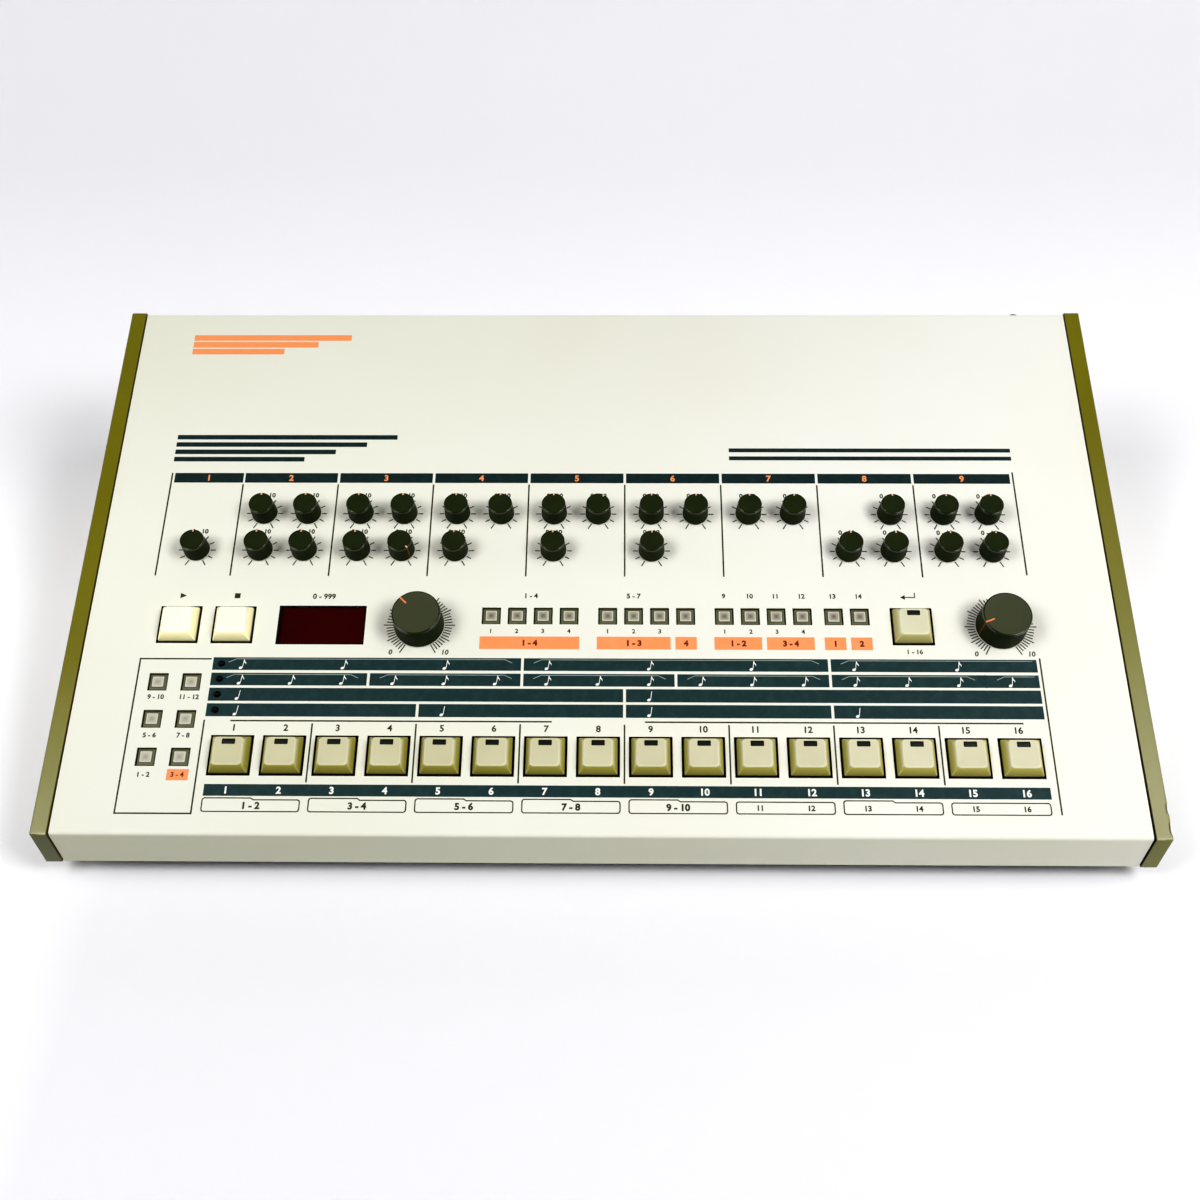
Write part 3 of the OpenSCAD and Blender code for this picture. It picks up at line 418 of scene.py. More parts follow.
# Printing on the panel. Every colour is one screen-printed layer of ink on the ivory cover: thin
# solids that stand a few hundredths of a millimetre above it.
class Ink(Casting):
    """One layer of ink, this far above the cover in millimetres."""

    def __init__(self, top=0.05):
        super().__init__()
        self.low, self.top = -0.02, top

    def shape(self, outline):
        self.loft([([on_panel(x, v, h) for x, v in outline], 0.0) for h in (self.low, self.top)])

    def bar(self, x0, x1, v0, v1):
        self.shape([(x0, v0), (x1, v0), (x1, v1), (x0, v1)])

    def line(self, start, end, width):
        start, end = Vector(start), Vector(end)
        along = (end - start).normalized() * width / 2
        across = Vector((-along.y, along.x))
        start, end = start - along, end + along
        self.shape([start - across, end - across, end + across, start + across])

    def path(self, points, width):
        for start, end in zip(points, points[1:]):
            self.line(start, end, width)

    def dot(self, x, v, rx, rv, turn=0.0, count=20):
        turned = []
        for k in range(count):
            angle = 2 * math.pi * k / count
            across, up = rx * math.cos(angle), rv * math.sin(angle)
            turned.append((x + across * math.cos(turn) - up * math.sin(turn),
                           v + across * math.sin(turn) + up * math.cos(turn)))
        self.shape(turned)

    def figures(self, words, x, v, height, weight, slant=0.0):
        """Numbers in plain upright figures, this tall, and thickened by the weight."""
        key = words, slant, weight
        if key not in figure_shapes:
            curve = bpy.data.curves.new("figures", "FONT")
            curve.body, curve.align_x, curve.shear = words, "CENTER", slant
            curve.offset, curve.extrude, curve.resolution_u = weight + 0.012, 0.5, 3
            holder = bpy.data.objects.new("figures", curve)
            scene.collection.objects.link(holder)
            bpy.context.view_layer.update()
            seen = holder.evaluated_get(bpy.context.evaluated_depsgraph_get())
            mesh = bpy.data.meshes.new_from_object(seen)
            skin = bmesh.new()
            skin.from_mesh(mesh)
            bmesh.ops.remove_doubles(skin, verts=skin.verts, dist=1e-5)
            skin.verts.index_update()
            figure_shapes[key] = ([tuple(vert.co) for vert in skin.verts],
                                  [[vert.index for vert in face.verts] for face in skin.faces])
            skin.free()
            bpy.data.objects.remove(holder)
            bpy.data.curves.remove(curve)
            bpy.data.meshes.remove(mesh)
        points, faces = figure_shapes[key]
        start, scale = len(self.points), height / figure_height
        for px, py, pz in points:
            self.points.append(on_panel(x + px * scale, v - height / 2 + py * scale,
                                        self.top if pz > 0 else self.low))
        self.tones += [0.0] * len(points)
        self.faces += [[start + k for k in face] for face in faces]


figure_shapes, figure_height = {}, 0.70


def ink_finish(name, colour, worn):
    finish = Finish(name, Specular_IOR_Level=0.3)
    finish.give(
        Base_Color=finish.mix(finish.patches(240, 4, 0.45, 0.8), colour, worn),
        Roughness=0.5 + finish.noise(400, 2) * 0.1,
        Normal=finish.grain(2600, 2, 0.00001))
    return finish


def middle_x(node):
    """The middle of a node across the panel, in millimetres."""
    return sum(corner.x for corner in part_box(node)) / 2 / MM


key_pitch = (middle_x("step_keys_15_16") - middle_x("step_keys_01_02")) / 14
first_key = middle_x("step_keys_01_02") - key_pitch / 2
key_xs = [first_key + key_pitch * k for k in range(16)]


def key_edge(count):
    """The line between two step keys, after that many keys."""
    return first_key + key_pitch * (count - 0.5)


def column_edge(column):
    return key_edge(2 * column)


olive_ink, navy_ink, teal_ink = Ink(), Ink(), Ink()
white_ink, orange_ink, rust_ink, grey_ink = Ink(0.08), Ink(0.08), Ink(0.11), Ink(0.08)
hair = 0.68
left_x, right_x, bar_gap = -209.0, 198.4, 0.65

# header bars over the columns of knobs, and the lines between the columns
header_low, header_high, column_low, column_high = 179.8, 185.3, 128.3, 178.5
header_bars = [(left_x + 1.4, column_edge(0) - 0.3)]
header_bars += [(column_edge(c) + bar_gap, column_edge(c + 1) - bar_gap) for c in range(7)]
header_bars.append((column_edge(7) + bar_gap, 196.8))
for number, (x0, x1) in enumerate(header_bars, 1):
    navy_ink.bar(x0, x1, header_low, header_high)
    orange_ink.figures(str(number), (x0 + x1) / 2, (header_low + header_high) / 2, 3.2, 0.025)
for c in range(8):
    olive_ink.line((column_edge(c), column_low), (column_edge(c), column_high), hair)
olive_ink.line((left_x, column_low), (left_x, 185), hair)
olive_ink.line((right_x, 129.5), (right_x, 186), hair)

# the four bars of note values: the lower and the upper edge, and after which keys each bar is cut
note_rows = [(78.9, 85.2, (6, 12)), (71.2, 77.4, (3, 6, 9, 12)), (63.5, 69.9, (8,)),
             (55.9, 62.2, (4, 8, 12))]
bar_start, bar_end = column_edge(0) - 1.94, 197.0
for v0, v1, cuts in note_rows:
    edges = [bar_start] + [key_edge(cut) for cut in cuts] + [bar_end]
    for k, (x0, x1) in enumerate(zip(edges, edges[1:])):
        x0 += bar_gap if k else 0
        x1 -= bar_gap if k < len(cuts) else 0
        teal_ink.bar(x0, x1, v0, v1)


def note(x, v, flag):
    """A music note, four and a half millimetres tall and slightly slanted."""
    stem = (-0.08, -1.75), (0.24, -1.75), (0.80, 2.45), (0.48, 2.45)
    tail = ((0.60, 1.15), (0.66, 2.45), (0.80, 2.45), (1.12, 1.45), (1.66, 0.80), (1.60, 0.02),
            (1.42, 0.02), (1.30, 0.55))
    white_ink.dot(x - 0.62, v - 1.75, 0.88, 0.66, 0.45)
    for part in (stem, tail) if flag else (stem,):
        white_ink.shape([(x + dx, v + dv) for dx, dv in part])


for row, keys in enumerate((range(0, 16, 2), range(16), (0, 8), (0, 4, 8, 12))):
    for k in keys:
        note(key_xs[k], sum(note_rows[row][:2]) / 2 - 0.35, row < 2)
# thin brackets over the groups of notes in the two upper bars
bracket_groups = (((0, 6), (6, 12), (12, 16)), ((0, 3), (3, 6), (6, 9), (9, 12), (12, 15), (15, 16)))
for row, groups in enumerate(bracket_groups):
    top = note_rows[row][1] - 0.75
    for first, last in groups:
        start = key_edge(first)
        points = [(start + 5.3, top - 1.6), (start + 8.6, top)]
        if last < 16:
            points += [(key_edge(last) - 8.0, top), (key_edge(last) - 4.8, top - 1.6)]
        else:
            points.append((195.0, top))
        grey_ink.path(points, 0.38)
olive_ink.line((key_edge(15), 71.2), (key_edge(15), 77.4), 0.3)

# numbers, dividers and boxes round the step keys
divider_v = 53.8
olive_ink.line((-163.9, divider_v), (-21.4, divider_v), hair)
olive_ink.line((20.6, divider_v), (187, divider_v), hair)
for number, x in enumerate(key_xs, 1):
    olive_ink.figures(str(number), x, 50.5, 3.0, 0.012)
    white_ink.figures(str(number), x, 20.9, 3.1, 0.03)
for c in range(1, 8):
    olive_ink.line((column_edge(c), 24.9), (column_edge(c), 52.2), hair)
teal_ink.bar(column_edge(0) + 1.96, 195.1, 18.2, 23.6)
box_low, box_high = 11, 16.4
for c in range(8):
    x0, x1 = column_edge(c) + 2.0, column_edge(c + 1) - 1.9
    middle = (x0 + x1) / 2
    high = box_high if c in (5, 7) else box_high + 0.8
    olive_ink.path([
        (x0, box_low + 1), (x0 + 0.3, box_low + 0.3), (x0 + 1, box_low), (x1 - 1, box_low),
        (x1 - 0.3, box_low + 0.3), (x1, box_low + 1), (x1, box_high - 1), (x1 - 0.3, box_high - 0.3),
        (x1 - 1, box_high), (middle + 1, box_high), (middle - 0.2, high), (x0 + 1, high),
        (x0 + 0.3, high - 0.3), (x0, high - 1), (x0, box_low + 1)], 0.5)
    if c < 5:
        olive_ink.figures(f"{2 * c + 1} - {2 * c + 2}", middle, 13.8, 3.0, 0.03)
    else:
        olive_ink.figures(f"{2 * c + 1}", x0 + 10.2, 13.7, 2.4, 0.02)
        olive_ink.figures(f"{2 * c + 2}", x1 - 10.2, 13.7, 2.4, 0.02)

# the box round the corner buttons, their numbers, and the line down the right side
box_left, box_right = left_x - 0.1, -175.9
olive_ink.path([(box_right, divider_v), (box_right, 10), (box_left, 10), (box_left, 84.4),
                (-177, 84.4)], hair)
olive_ink.line((right_x + 0.2, 11.4), (right_x + 0.2, 85.6), hair)
corner_xs, label_low, label_pitch = (-199.4, -184.4), 28.0, 18.7
for j in range(3):
    for i, x in enumerate(corner_xs):
        first, ink = 4 * j + 2 * i + 1, rust_ink if i and not j else olive_ink
        ink.figures(f"{first} - {first + 1}", x, label_low + label_pitch * j, 2.2, 0.015)
orange_ink.bar(-189.0, -179.5, 25.3, 30.5)

# scales round the knobs
knob_sweep, tick_w = 150, 0.5


def scale(x, v, gaps, start, short, long, every):
    """Ticks round a knob, from a radius to a shorter one, or to a longer one at every so many."""
    middle = Vector((x, v))
    for k in range(gaps + 1):
        angle = math.radians(2 * knob_sweep / gaps * k - knob_sweep)
        away = Vector((math.sin(angle), math.cos(angle)))
        olive_ink.line(middle + away * start, middle + away * (short if k % every else long), tick_w)


small_knobs = sorted(name[:-5] for name in joints if name.startswith(("upper_knob", "lower_knob")))
knob_middle = {}
for name in small_knobs + ["tempo_knob", "volume_knob"]:
    place = Vector(joints[name + "_turn"]["pos_m"]) - panel_start
    x, v = knob_middle[name] = place.x / MM, place.dot(panel_back) / MM
    if name in small_knobs:
        scale(x, v, 10, 6.6, 8.4, 9.2, 10)
        olive_ink.figures("0 - 10", x, v + 10.4, 2.3, 0.02)
    else:
        scale(x, v, 50, 11.9, 14.9, 16.1, 5)
        olive_ink.figures("0", x - 12.4, v - 13.8, 2.4, 0.012, 0.1)
        olive_ink.figures("10", x + 12.4, v - 13.8, 2.4, 0.012, 0.1)

# signs over the large controls: a triangle, a square, the range of the display, and a bent arrow
olive_ink.shape([(-195.4, 115.8), (-192.6, 117.2), (-195.4, 118.6)])
olive_ink.bar(-170.1, -167.5, 115.9, 118.5)
olive_ink.figures("0 - 999", -128.3, 117.0, 2.6, 0.015)
olive_ink.figures("1 - 16", 142.7, 89.1, 2.2, 0.012)
olive_ink.path([(145.2, 119.4), (145.2, 117.2), (139.6, 117.2)], 0.45)
olive_ink.shape([(138.4, 117.2), (140.6, 116.0), (140.6, 118.4)])

# numbers over and under the small buttons, and the orange bars under them
button_w, button_pitch = 7.8, 11.95
bank_xs = [[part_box(f"button_bank_{b}")[0].x / MM + button_w / 2 + i * button_pitch
            for i in range(size)] for b, size in enumerate((4, 4, 4, 2), 1)]
for b, xs in enumerate(bank_xs):
    for i, x in enumerate(xs):
        number = 4 * b + i + 1
        if b > 1:
            olive_ink.figures(str(number), x, 117.7, 2.3, 0.015)
        elif i == 1:
            olive_ink.figures(f"{number - 1} - {number + 2 - b}", x + 6 - 6 * b, 117.6, 2.4, 0.015)
        if b in (0, 2) or (b == 1 and i < 3):
            olive_ink.figures(str(i + 1), x, 99.2, 2.1, 0.012)
bank_bar_low, bank_bar_high, bank_bar_reach = 89.9, 96.3, 4.85
for b, first, last in (0, 0, 3), (1, 0, 2), (1, 3, 3), (2, 0, 1), (2, 2, 3), (3, 0, 0), (3, 1, 1):
    x0, x1 = bank_xs[b][first] - bank_bar_reach, bank_xs[b][last] + bank_bar_reach
    orange_ink.bar(x0, x1, bank_bar_low, bank_bar_high)
    words = f"{first + 1}" if first == last else f"{first + 1} - {last + 1}"
    rust_ink.figures(words, (x0 + x1) / 2, 93.1, 2.7, 0.035)

# plain stripes at the top left, under them, and at the right
for ink, x, widths, low, high, pitch in (
        (orange_ink, -209.5, (80.7, 64, 47), 266.3, 269.8, 4.35),
        (navy_ink, -209.5, (108.7, 94, 79, 64), 205.1, 207.7, 4.33),
        (navy_ink, 62, (136.9, 136.9), 197.9, 200.1, 4.7)):
    for k, width in enumerate(widths):
        ink.bar(x, x + width, low - pitch * k, high - pitch * k)

for ink, name, colour, worn in (
        (olive_ink, "olive_printing", (0.030, 0.030, 0.004), (0.07, 0.068, 0.02)),
        (navy_ink, "navy_printing", (0.006, 0.024, 0.024), (0.015, 0.036, 0.036)),
        (teal_ink, "teal_printing", (0.012, 0.043, 0.044), (0.024, 0.06, 0.06)),
        (white_ink, "white_printing", (0.86, 0.86, 0.82), (0.7, 0.72, 0.68)),
        (orange_ink, "orange_printing", (0.86, 0.33, 0.13), (0.80, 0.36, 0.17)),
        (rust_ink, "rust_printing", (0.16, 0.012, 0.004), (0.22, 0.04, 0.02)),
        (grey_ink, "grey_printing", (0.33, 0.36, 0.32), (0.24, 0.28, 0.26))):
    ink.piece(name, ink_finish(name, colour, worn), "case", "ivory_cover")


# Step keys. Sixteen hollow caps of warm grey plastic with a flat top, leaning sides and a lamp
# window at the back of the top. Each slides in its hole on a round stem that presses a switch.
def square_ring(x, v, w, d, r, h, steps=5):
    """Points round a rectangle w by d with rounded corners, at a height over the panel."""
    ring = []
    for quarter, (sx, sv) in enumerate(((1, 1), (-1, 1), (-1, -1), (1, -1))):
        for step in range(steps + 1):
            angle = math.pi / 2 * (quarter + step / steps)
            ring.append(on_panel(x + sx * (w / 2 - r) + r * math.cos(angle),
                                 v + sv * (d / 2 - r) + r * math.sin(angle), h))
    return ring


def round_ring(x, v, r, h, count=32):
    return [on_panel(x + r * math.cos(2 * math.pi * k / count),
                     v + r * math.sin(2 * math.pi * k / count), h) for k in range(count)]


key_w, key_top_w, key_top_d, key_lean, key_skirt, key_rise, key_wall = 17.2, 12.9, 13.1, 0.25, 6, 5, 1.6
key_low_edge, key_ceiling, stem_r, key_stem_low = 0.6, 2.5, 2.5, -9.6
# which points of a square ring lie on its left and right sides, and which on its rounded corners: the
# sides get a higher tone for a painted light and the corners one for a painted highlight
ring_sides, ring_corners = (22, 23, 0, 1, 10, 11, 12, 13), (2, 3, 8, 9, 14, 15, 20, 21)


def key_cap(casting, x, v, lamp):
    """A cap and its stem. Its skin runs from the ceiling inside, round the skirt, and over the top."""
    def side_ring(h, shrink, tone, sunk=0.0):
        """The cap's outline at a height on its leaning sides."""
        share = (h - key_low_edge) / (key_rise - key_low_edge)
        w = key_w + (key_top_w - key_w) * share - shrink
        d = key_w + (key_top_d - key_w) * share - shrink
        radius = max(0.5 + 1.6 * share ** 2 - shrink / 3, 0.3)
        tones = [tone] * 24
        if tone < 0.35:
            for k in ring_sides:
                tones[k] = tone + 0.09
            for k in ring_corners:
                tones[k] = max(tone, 0.37 - 0.09 * share)
        return square_ring(x, v + key_lean * share, w, d, radius, h - sunk), tones

    inner = key_w - 2 * key_wall
    rings = [(square_ring(x, v, w, w, r, h), tone) for w, r, h, tone in (
        (inner, 0.6, key_ceiling - 1, 0.0), (inner, 0.6, -key_skirt, 0.0),
        (key_w - 0.3, 0.4, -key_skirt, 0.0), (key_w, 0.5, 0.15 - key_skirt, 0.0),
        (key_w, 0.5, -0.2, 0.0), (key_w, 0.5, key_low_edge - 0.25, 0.1),
        (key_w - 0.06, 0.5, key_low_edge - 0.08, 0.1))]
    rings += [side_ring(h, shrink, tone) for h, shrink, tone in (
        (0.75, 0, 0.1), (1.5, 0, 0.15), (2.5, 0, 0.2), (3.5, 0, 0.25), (4.3, 0, 0.3),
        (4.55, 0.06, 0.32), (4.72, 0.16, 0.4), (4.86, 0.36, 0.5), (4.95, 0.62, 0.5), (5.0, 0.95, 0.5))]
    rings.append(side_ring(key_rise, 1.3, 0.6, 0.01))
    if lamp:
        lamp_v = v + key_lean + key_top_d / 2 - 2.2
        rings += [(square_ring(x, lamp_v, w, d, r, h), tone) for w, d, r, h, tone in (
            (5.9, 2.6, 0.35, 4.99, 0.6), (5.75, 2.45, 0.3, 4.90, 1.0), (5.7, 2.4, 0.3, 4.45, 1.0),
            (4.0, 0.7, 0.1, 4.50, 1.0))]
    else:
        rings += [side_ring(key_rise, 5, 0.6, 0.07), side_ring(key_rise, 9, 0.6, 0.1)]
    casting.loft(rings)
    casting.loft([(round_ring(x, v, stem_r, h), 0.0) for h in (key_stem_low, key_ceiling)])


def key_plastic(name, *top_and_shaded_side_colours):
    """The skirt below the cover is a painted shade, dark, and the leaning sides grow lighter upwards, a
    painted shading; the left and right ones are lighter than the front, a painted light, and the
    corners between them and the rim of the top are lighter still, a painted highlight. A look is the
    colour of the top and the shaded colour of the sides. A second look is for the keys on the right, a
    painted light."""
    finish = Finish(name, Specular_IOR_Level=0.4)
    tone, window_black = finish.tone(), Vector((0.010, 0.012, 0.005))
    caps = []
    for top, side in top_and_shaded_side_colours:
        top, side = Vector(top), Vector(side)
        caps.append(finish.ramp(
            tone, (0.02, side * 0.1), (0.09, side * 0.72), (0.30, side * 1.3), (0.42, top * 1.1),
            (0.52, top * 1.1), (0.60, top), (0.70, top), (0.80, window_black)))
    cap = finish.mix(finish.spread(finish.spot()[0], -0.05, 0.15), caps[0], caps[-1])
    finish.give(
        Base_Color=finish.shaded(finish.patches(45, 3, 0.35, 0.7), cap, (0.94, 0.93, 0.90)),
        Roughness=0.44 + finish.noise(220, 3) * 0.12 - finish.spread(tone, 0.7, 0.9) * 0.1,
        Normal=finish.grain(2400, 2, 0.00003))
    return finish


# the step keys on the right are a little lighter than those on the left, a painted light
step_plastic = key_plastic("warm_grey_plastic", ((0.585, 0.562, 0.380), (0.270, 0.247, 0.040)),
                           ((0.640, 0.615, 0.450), (0.365, 0.335, 0.085)))
step_v = 37.2
for c in range(8):
    caps = Casting()
    for x in key_xs[2 * c:2 * c + 2]:
        key_cap(caps, x, step_v, True)
    node = f"step_keys_{2 * c + 1:02d}_{2 * c + 2:02d}"
    caps.piece(node.replace("keys", "key_caps"), step_plastic, node, "step_key_plastic", node, 40)

# Start, stop and enter keys. The same caps: start and stop are warm white and have no lamp window,
# and enter is warm grey with one.
white_plastic = key_plastic("warm_white_plastic", ((0.89, 0.87, 0.77), (0.82, 0.765, 0.46)))
enter_plastic = key_plastic("pale_grey_plastic", ((0.65, 0.64, 0.47), (0.42, 0.385, 0.165)))
for node, lamp, finish, slot in (
        ("start_key", False, white_plastic, "white_key_plastic"),
        ("stop_key", False, white_plastic, "white_key_plastic"),
        ("enter_key", True, enter_plastic, "step_key_plastic")):
    cap = Casting()
    key_cap(cap, middle_x(node), control_v, lamp)
    cap.piece(node + "_cap", finish, node, slot, node, 40)

# Small lamp buttons. Each is a grey-olive frame, sunk in its hole, round a milky square lens that
# stands just above the panel. A round stem presses a switch on the board.
button_v, button_skirt, button_sink, lens_w = 107, 4, 0.4, 5.4
button_stem_r, button_stem_low = 1.75, -11.9


def small_button(casting, x, v, centre_tone):
    """A frame, its lens and its stem. The centre tone is the tone in the middle of the lens."""
    seat, lens = -button_sink - 0.6, lens_w - 0.1
    frame_rings = (
        (6, 0.3, -button_skirt, 0.0), (button_w, 0.4, -button_skirt, 0.0),
        (button_w, 0.4, -button_sink - 0.5, 0.0), (button_w - 0.25, 0.4, -button_sink - 0.18, 0.05),
        (button_w - 0.8, 0.3, -button_sink, 0.1), (lens_w + 0.15, 0.35, -button_sink, 0.1),
        (lens_w, 0.3, -button_sink - 0.1, 0.0), (lens_w, 0.3, seat, 0.0))
    lens_rings = (
        (lens, 0.35, seat, 0.35), (lens, 0.35, -0.25, 0.45), (lens - 0.12, 0.4, 0.05, 0.6),
        (lens - 0.4, 0.45, 0.22, 0.7), (lens - 0.8, 0.5, 0.28, 0.7),
        (lens - 1.3, 0.6, 0.24, 0.35 + centre_tone / 2),
        (lens - 2.6, 0.7, 0.2, 0.2 + centre_tone * 0.7), (0.8, 0.3, 0.18, centre_tone))
    for rings in frame_rings, lens_rings:
        casting.loft([(square_ring(x, v, w, w, r, h), tone) for w, r, h, tone in rings])
    casting.loft([(round_ring(x, v, button_stem_r, h), 0.0)
                  for h in (button_stem_low, 0.5 - button_skirt)])


button_plastic = Finish("button_plastic", Specular_IOR_Level=0.4)
button_tone = button_plastic.tone()
button_body = button_plastic.mix(
    button_plastic.patches(300, 3, 0.35, 0.65), (0.155, 0.158, 0.085), (0.125, 0.127, 0.065))
# painted light on the lens: its rim is pale, a glow of light through the milky plastic; its sides, sunk
# in the frame, are a painted shade, and its middle is darker
lens_rim_glow = button_plastic.mix(
    button_plastic.spread(button_tone, 0.4, 0.7), (0.20, 0.195, 0.13), (0.62, 0.61, 0.51))
lens_body = button_plastic.mix(
    button_plastic.spread(button_tone, 0.72, 1.0), lens_rim_glow, (0.19, 0.168, 0.125))
button_plastic.give(
    Base_Color=button_plastic.mix(
        button_plastic.spread(button_tone, 0.15, 0.3), button_body, lens_body),
    Roughness=0.42 + button_plastic.noise(400, 2) * 0.12,
    Normal=button_plastic.grain(2400, 2, 0.00002))
bank_places = [[(x, button_v) for x in xs] for xs in bank_xs]
corner_places = [(x, 36.3 + 18.25 * j) for x in corner_xs for j in range(3)]
button_sets = [(f"lamp_buttons_{b}", f"button_bank_{b}", places, 1.0)
               for b, places in enumerate(bank_places, 1)]
button_sets.append(("corner_lamp_buttons", "corner_buttons", corner_places, 0.88))
for name, node, places, centre_tone in button_sets:
    buttons = Casting()
    for x, v in places:
        small_button(buttons, x, v, centre_tone)
    buttons.piece(name, button_plastic, node, "button_plastic", node, 40)


# Black collars. A thin collar lines each opening for a key, a button or the display, from just under
# the cover's surface downwards: a painted shade, black, and dark olive round the small buttons, so that
# the gaps round them look black.
def collar(x, v, w, d, walls, low=-2.6, tone=0.0):
    """A collar in an opening w by d. Its walls are given as left, right, front and rear."""
    left, right, front, rear = walls
    inner = x + (left - right) / 2, v + (front - rear) / 2, w - left - right, d - front - rear
    outer = x, v, w + 0.1, d + 0.1
    start = len(shade_collars.points)
    for line, h in (outer, low), (outer, collar_top), (inner, collar_top), (inner, low):
        shade_collars.points += square_ring(*line, 0.1, h, 1)
        shade_collars.tones += [tone] * 8
    for k in range(4):
        near, far = start + 8 * k, start + 8 * ((k + 1) % 4)
        for i in range(8):
            after = (i + 1) % 8
            shade_collars.faces.append([near + i, near + after, far + after, far + i])


shade_collars, collar_top = Casting(), -0.12
opening_w, button_opening_w, display_w, display_d = 19.2, 8.7, 40.4, 20.1
key_walls, button_walls, display_walls = (0.12,) * 4, (0.1, 0.1, 0.3, 0.35), (0.9, 0.15, 0.15, 0.5)
for x, v in ([(middle_x(node), control_v) for node in ("start_key", "stop_key", "enter_key")]
             + [(x, step_v) for x in key_xs]):
    collar(x, v, opening_w, opening_w, key_walls)
for x, v in sum(bank_places, []) + corner_places:
    collar(x, v, button_opening_w, button_opening_w, button_walls, tone=1.0)
collar(middle_x("display_window"), control_v, display_w, display_d, display_walls, -0.8)
collar_shade_black = Finish("painted_shade_black", Specular_IOR_Level=0.1, Roughness=0.8)
collar_tone = collar_shade_black.tone()
collar_shade_black.give(Base_Color=collar_shade_black.mix(
    collar_shade_black.patches(300, 3, 0.3, 0.7),
    collar_shade_black.mix(collar_tone, (0.004, 0.004, 0.004), (0.055, 0.058, 0.028)),
    collar_shade_black.mix(collar_tone, (0.007, 0.007, 0.006), (0.070, 0.072, 0.036))))
shade_collars.piece("painted_shade_collars", collar_shade_black, "case", "switch_plastic")


# Knobs. Each is a dark grey-green moulding on its spindle, slightly tapered, with a rounded rim and
# a pointer let into its top and side: short and cream on the small knobs, long and orange on the dials.
def knob(casting, x, v, turn, foot, top, height, spindle, top_tone, start, width, pointer_tone):
    """A knob on its spindle. Its pointer starts this far from the middle of the top."""
    lift, rim = knob_lift, knob_rim
    foot_r, top_r, peak = foot / 2, top / 2, lift + height

    def ring(r, h, tone=0.0):
        return round_ring(x, v, r, h, 96), tone

    rings = [ring(foot_r - 1.5, lift + 2), ring(foot_r - 1.5, lift), ring(foot_r - 0.12, lift),
             ring(foot_r, lift + 0.12)]
    rings += [ring(foot_r + (top_r - foot_r) * share, lift + (height - rim) * share)
              for share in (0.3, 0.6, 0.85)]
    for step in range(7):
        angle = math.pi / 2 * step / 6
        rings.append(ring(top_r - rim * (1 - math.cos(angle)), peak - rim * (1 - math.sin(angle)), 0.3))
    rings += [ring(r, peak - sunk, top_tone) for r, sunk in (
        (top_r - rim - 0.25, 0), (top_r - rim - 0.4, 0.06), (top_r * 0.55, 0.07), (top_r * 0.1, 0.07))]
    casting.loft(rings)
    casting.loft([ring(spindle / 2, h) for h in (spindle_low, lift + 3)])
    # the pointer: a strip that follows the top, the rim and the side
    angle = math.radians(turn)
    out = Vector((-math.sin(angle), math.cos(angle)))
    across = Vector((out.y, -out.x)) * width / 2

    def strip(r, h, thick, rise):
        low = Vector((x, v)) + out * r
        high = Vector((x, v)) + out * (r + thick)
        return [on_panel(*(low + across), h), on_panel(*(low - across), h),
                on_panel(*(high - across), h + rise), on_panel(*(high + across), h + rise)]

    line = [strip(start, peak - 0.2, 0.0, 0.17)]
    line.append(strip(top_r - rim - 0.3, peak - 0.2, 0.0, 0.22))
    for step in range(1, 7):
        bend = math.pi / 2 * (1 - step / 6)
        r, h = top_r - rim + rim * math.cos(bend), peak - rim + rim * math.sin(bend)
        line.append(strip(r - 0.2 * math.cos(bend), h - 0.2 * math.sin(bend),
                          0.23 * math.cos(bend), 0.23 * math.sin(bend)))
    line.append(strip(foot_r - 0.25, lift + 0.5, 0.25, 0.0))
    casting.loft([(points, pointer_tone if k < 6 else 0.8) for k, points in enumerate(line)])


knob_lift, knob_rim, spindle_low = 0.6, 0.45, -12.8
small_knob = {"foot": 12.2, "top": 11.2, "height": 8.9, "spindle": 5, "top_tone": 0.43,
              "start": 4.4, "width": 0.7, "pointer_tone": 0.9}
large_knob = {"foot": 23, "top": 22, "height": 12, "spindle": 6, "top_tone": 0.6,
              "start": 6.6, "width": 0.75, "pointer_tone": 1}
knob_plastic = Finish("knob_plastic", Specular_IOR_Level=0.08, Coat_Roughness=0.1)
knob_tone = knob_plastic.tone()
knob_body = knob_plastic.mix(
    knob_plastic.patches(120, 4, 0.3, 0.7), (0.012, 0.021, 0.003), (0.018, 0.028, 0.005))
# painted light: the top is lighter than the sides, the dials' tops more so
knob_body = knob_plastic.mix(knob_plastic.spread(knob_tone, 0.4, 0.6), knob_body, (0.076, 0.084, 0.047))
# the pointer is cream on the small knobs and orange on the dials, and dark brown down the side, a
# painted shade
knob_pointer = knob_plastic.ramp(
    knob_tone, (0.8, (0.16, 0.055, 0.015)), (0.9, (0.76, 0.46, 0.27)), (1, (0.74, 0.28, 0.10)))
knob_plastic.give(
    Base_Color=knob_plastic.mix(knob_tone > 0.75, knob_body, knob_pointer),
    Roughness=0.40 + knob_plastic.noise(250, 3) * 0.14,
    Coat_Weight=(knob_tone > 0.15) * (knob_tone < 0.35),
    Normal=knob_plastic.grain(2200, 2, 0.00003))
for name, (x, v) in knob_middle.items():
    turn = -sum(joints[name + "_turn"]["range_deg"]) / 2
    body = Casting()
    knob(body, x, v, turn, **(small_knob if name in small_knobs else large_knob))
    body.piece(name + "_cap", knob_plastic, name, "knob_plastic", name)

# Display window. A plate of dark maroon acrylic, set in its opening from inside, in front of the
# segment display on the panel board.
maroon = Finish("maroon_acrylic", Specular_IOR_Level=0.12)
maroon.give(
    Base_Color=maroon.mix(
        maroon.patches(30, 3, 0.3, 0.7), (0.052, 0.0004, 0.0018), (0.040, 0.0003, 0.0010)),
    Roughness=0.22 + maroon.noise(120, 3) * 0.06)
dress("display_window", maroon)

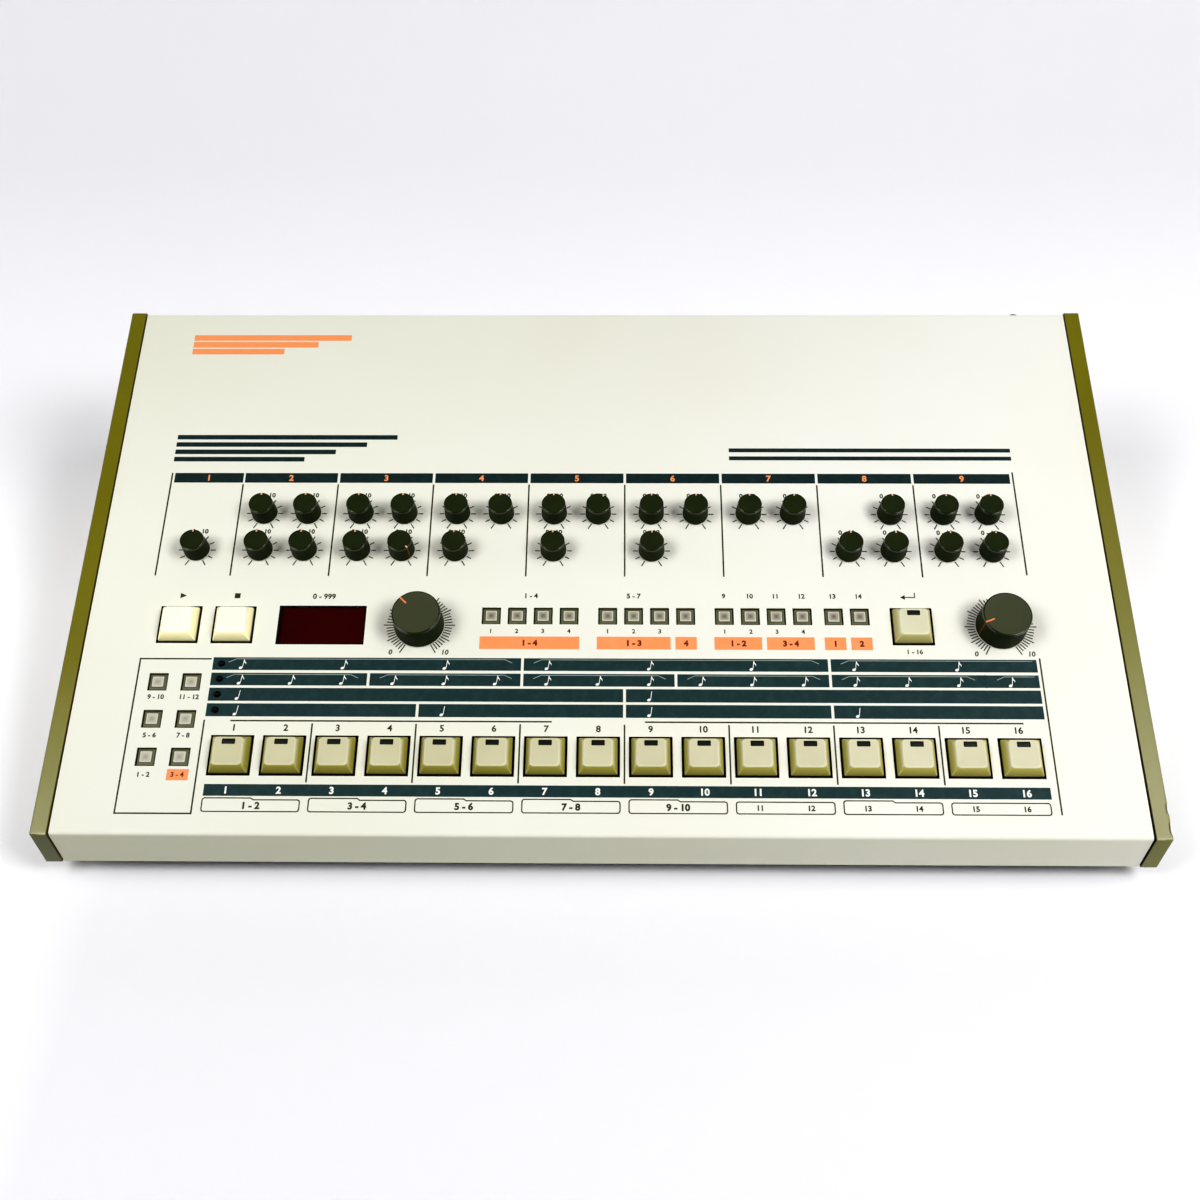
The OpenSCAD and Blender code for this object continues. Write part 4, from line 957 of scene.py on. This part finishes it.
# Panel board. A green circuit board on the cover's posts, with the black display module and the
# four dark red row lamps that come up through the cover.
board = Finish("panel_board_laminate", Specular_IOR_Level=0.15)
board_height = board.along(panel_up) - panel_start.dot(panel_up)
module_low, lamp_low = -14.3 * MM, -2 * MM
laminate_greens = (0.012, 0.075, 0.028), (0.02, 0.11, 0.04)
board_colour = board.mix(board.patches(400, 3, 0.4, 0.6), *laminate_greens)
board_colour = board.mix(board_height > module_low, board_colour, (0.02, 0.02, 0.02))
board.give(
    Base_Color=board.mix(board_height > lamp_low, board_colour, (0.003, 0.001, 0.001)),
    Roughness=0.35 + board.noise(90, 2) * 0.1)
dress("panel_board", board)

# Main board. The same green laminate, with black chips and silver capacitors soldered to it. It
# stands on four pillars of the chassis.
circuit = Finish("main_board_laminate", Specular_IOR_Level=0.4)
circuit_height = circuit.spot()[2]
board_top, chip_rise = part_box("main_board")[0].z + 1.62 * MM, 4.1 * MM
circuit_colour = circuit.mix(circuit.patches(400, 3, 0.4, 0.6), *laminate_greens)
circuit_colour = circuit.mix(circuit_height > board_top, circuit_colour, (0.018, 0.018, 0.018))
circuit.give(
    Base_Color=circuit.mix(circuit_height > board_top + chip_rise, circuit_colour, (0.4, 0.42, 0.45)),
    Roughness=0.35 + circuit.noise(90, 2) * 0.1)
dress("main_board", circuit)


# Chassis. A tray of folded sheet steel under dark paint, with flanges, cooling slots and pillars.
# The cover's bosses and the rear panel are screwed to it.
def plain(name, colour, shade, grain, metallic=0.0, roughness=0.45):
    """Paint, bare metal or moulded plastic, with soft patches of a second shade."""
    finish = Finish(name, Specular_IOR_Level=0.4, Metallic=metallic)
    finish.give(
        Base_Color=finish.mix(finish.patches(25, 4, 0.3, 0.7), colour, shade),
        Roughness=roughness + finish.noise(140, 3) * 0.14,
        Normal=finish.grain(grain, 3, 0.00004))
    return finish


dress("bottom_chassis", plain("dark_painted_steel", (0.045, 0.043, 0.036), (0.035, 0.034, 0.03), 1600))

# Rear panel. A plate of sheet steel in ivory paint, punched for the sockets and the power button,
# and held by ten screws.
dress("rear_panel", plain("ivory_painted_steel", (0.60, 0.58, 0.46), (0.56, 0.54, 0.41), 1500))

# Transformer. A core of steel sheets round its winding, both lacquered, with a steel bracket under
# them that stands on the chassis.
dress("power_supply", plain("lacquered_steel", (0.16, 0.16, 0.17), (0.11, 0.11, 0.12), 900, 0.6, 0.35))

# Potentiometers. Plain metal cans on the panel board, one under every knob, each with a threaded
# neck that its spindle turns in.
dress("potentiometers", plain("plain_metal", (0.62, 0.62, 0.62), (0.5, 0.5, 0.5), 1200, 0.9, 0.3))

# Key switches. Black mouldings on the panel board, one under every key and small button, each with
# a well for the stem.
dress("key_switches", plain("switch_plastic", (0.03, 0.03, 0.03), (0.022, 0.022, 0.022), 1800))

# Rubber feet. Four round, tapered feet of black rubber under the chassis, each held by a screw that
# is sunk in its middle.
dress("rubber_feet", plain("foot_rubber", (0.022, 0.022, 0.021), (0.03, 0.03, 0.029), 1100, 0.0, 0.7))

# Case screws. Blackened steel screws with round flat heads: three under the front, four in the feet
# and ten on the rear panel.
dress("case_screws", plain("blackened_steel", (0.10, 0.10, 0.10), (0.07, 0.07, 0.07), 1400, 0.9, 0.32))

# Power button. A round black moulding with a bevelled end. It comes out through the rear panel and
# slides in the switch behind it.
dress("power_button", plain("button_black", (0.012, 0.012, 0.012), (0.016, 0.016, 0.016), 2000))

# Rear sockets. Eight black jack sockets with plated ring nuts, two round data sockets, the mains
# inlet and the switch behind the power button, all set in the rear panel.
sockets = Finish("socket_plastic", Specular_IOR_Level=0.4)
rear_face = (panel_start + panel_back * 281.4 * MM).dot(panel_back)
nuts_left, nuts_right, socket_x = -0.11, 0.09, sockets.spot()[0]
plated = ((sockets.along(panel_back) > rear_face + 0.05 * MM)
          * (socket_x > nuts_left) * (socket_x < nuts_right))
sockets.give(
    Base_Color=sockets.mix(plated, (0.020, 0.020, 0.020), (0.62, 0.62, 0.60)),
    Metallic=plated * 0.95,
    Roughness=0.42 - plated * 0.16 + sockets.noise(300, 3) * 0.1,
    Normal=sockets.grain(1800, 2, 0.00003))
dress("rear_sockets", sockets)
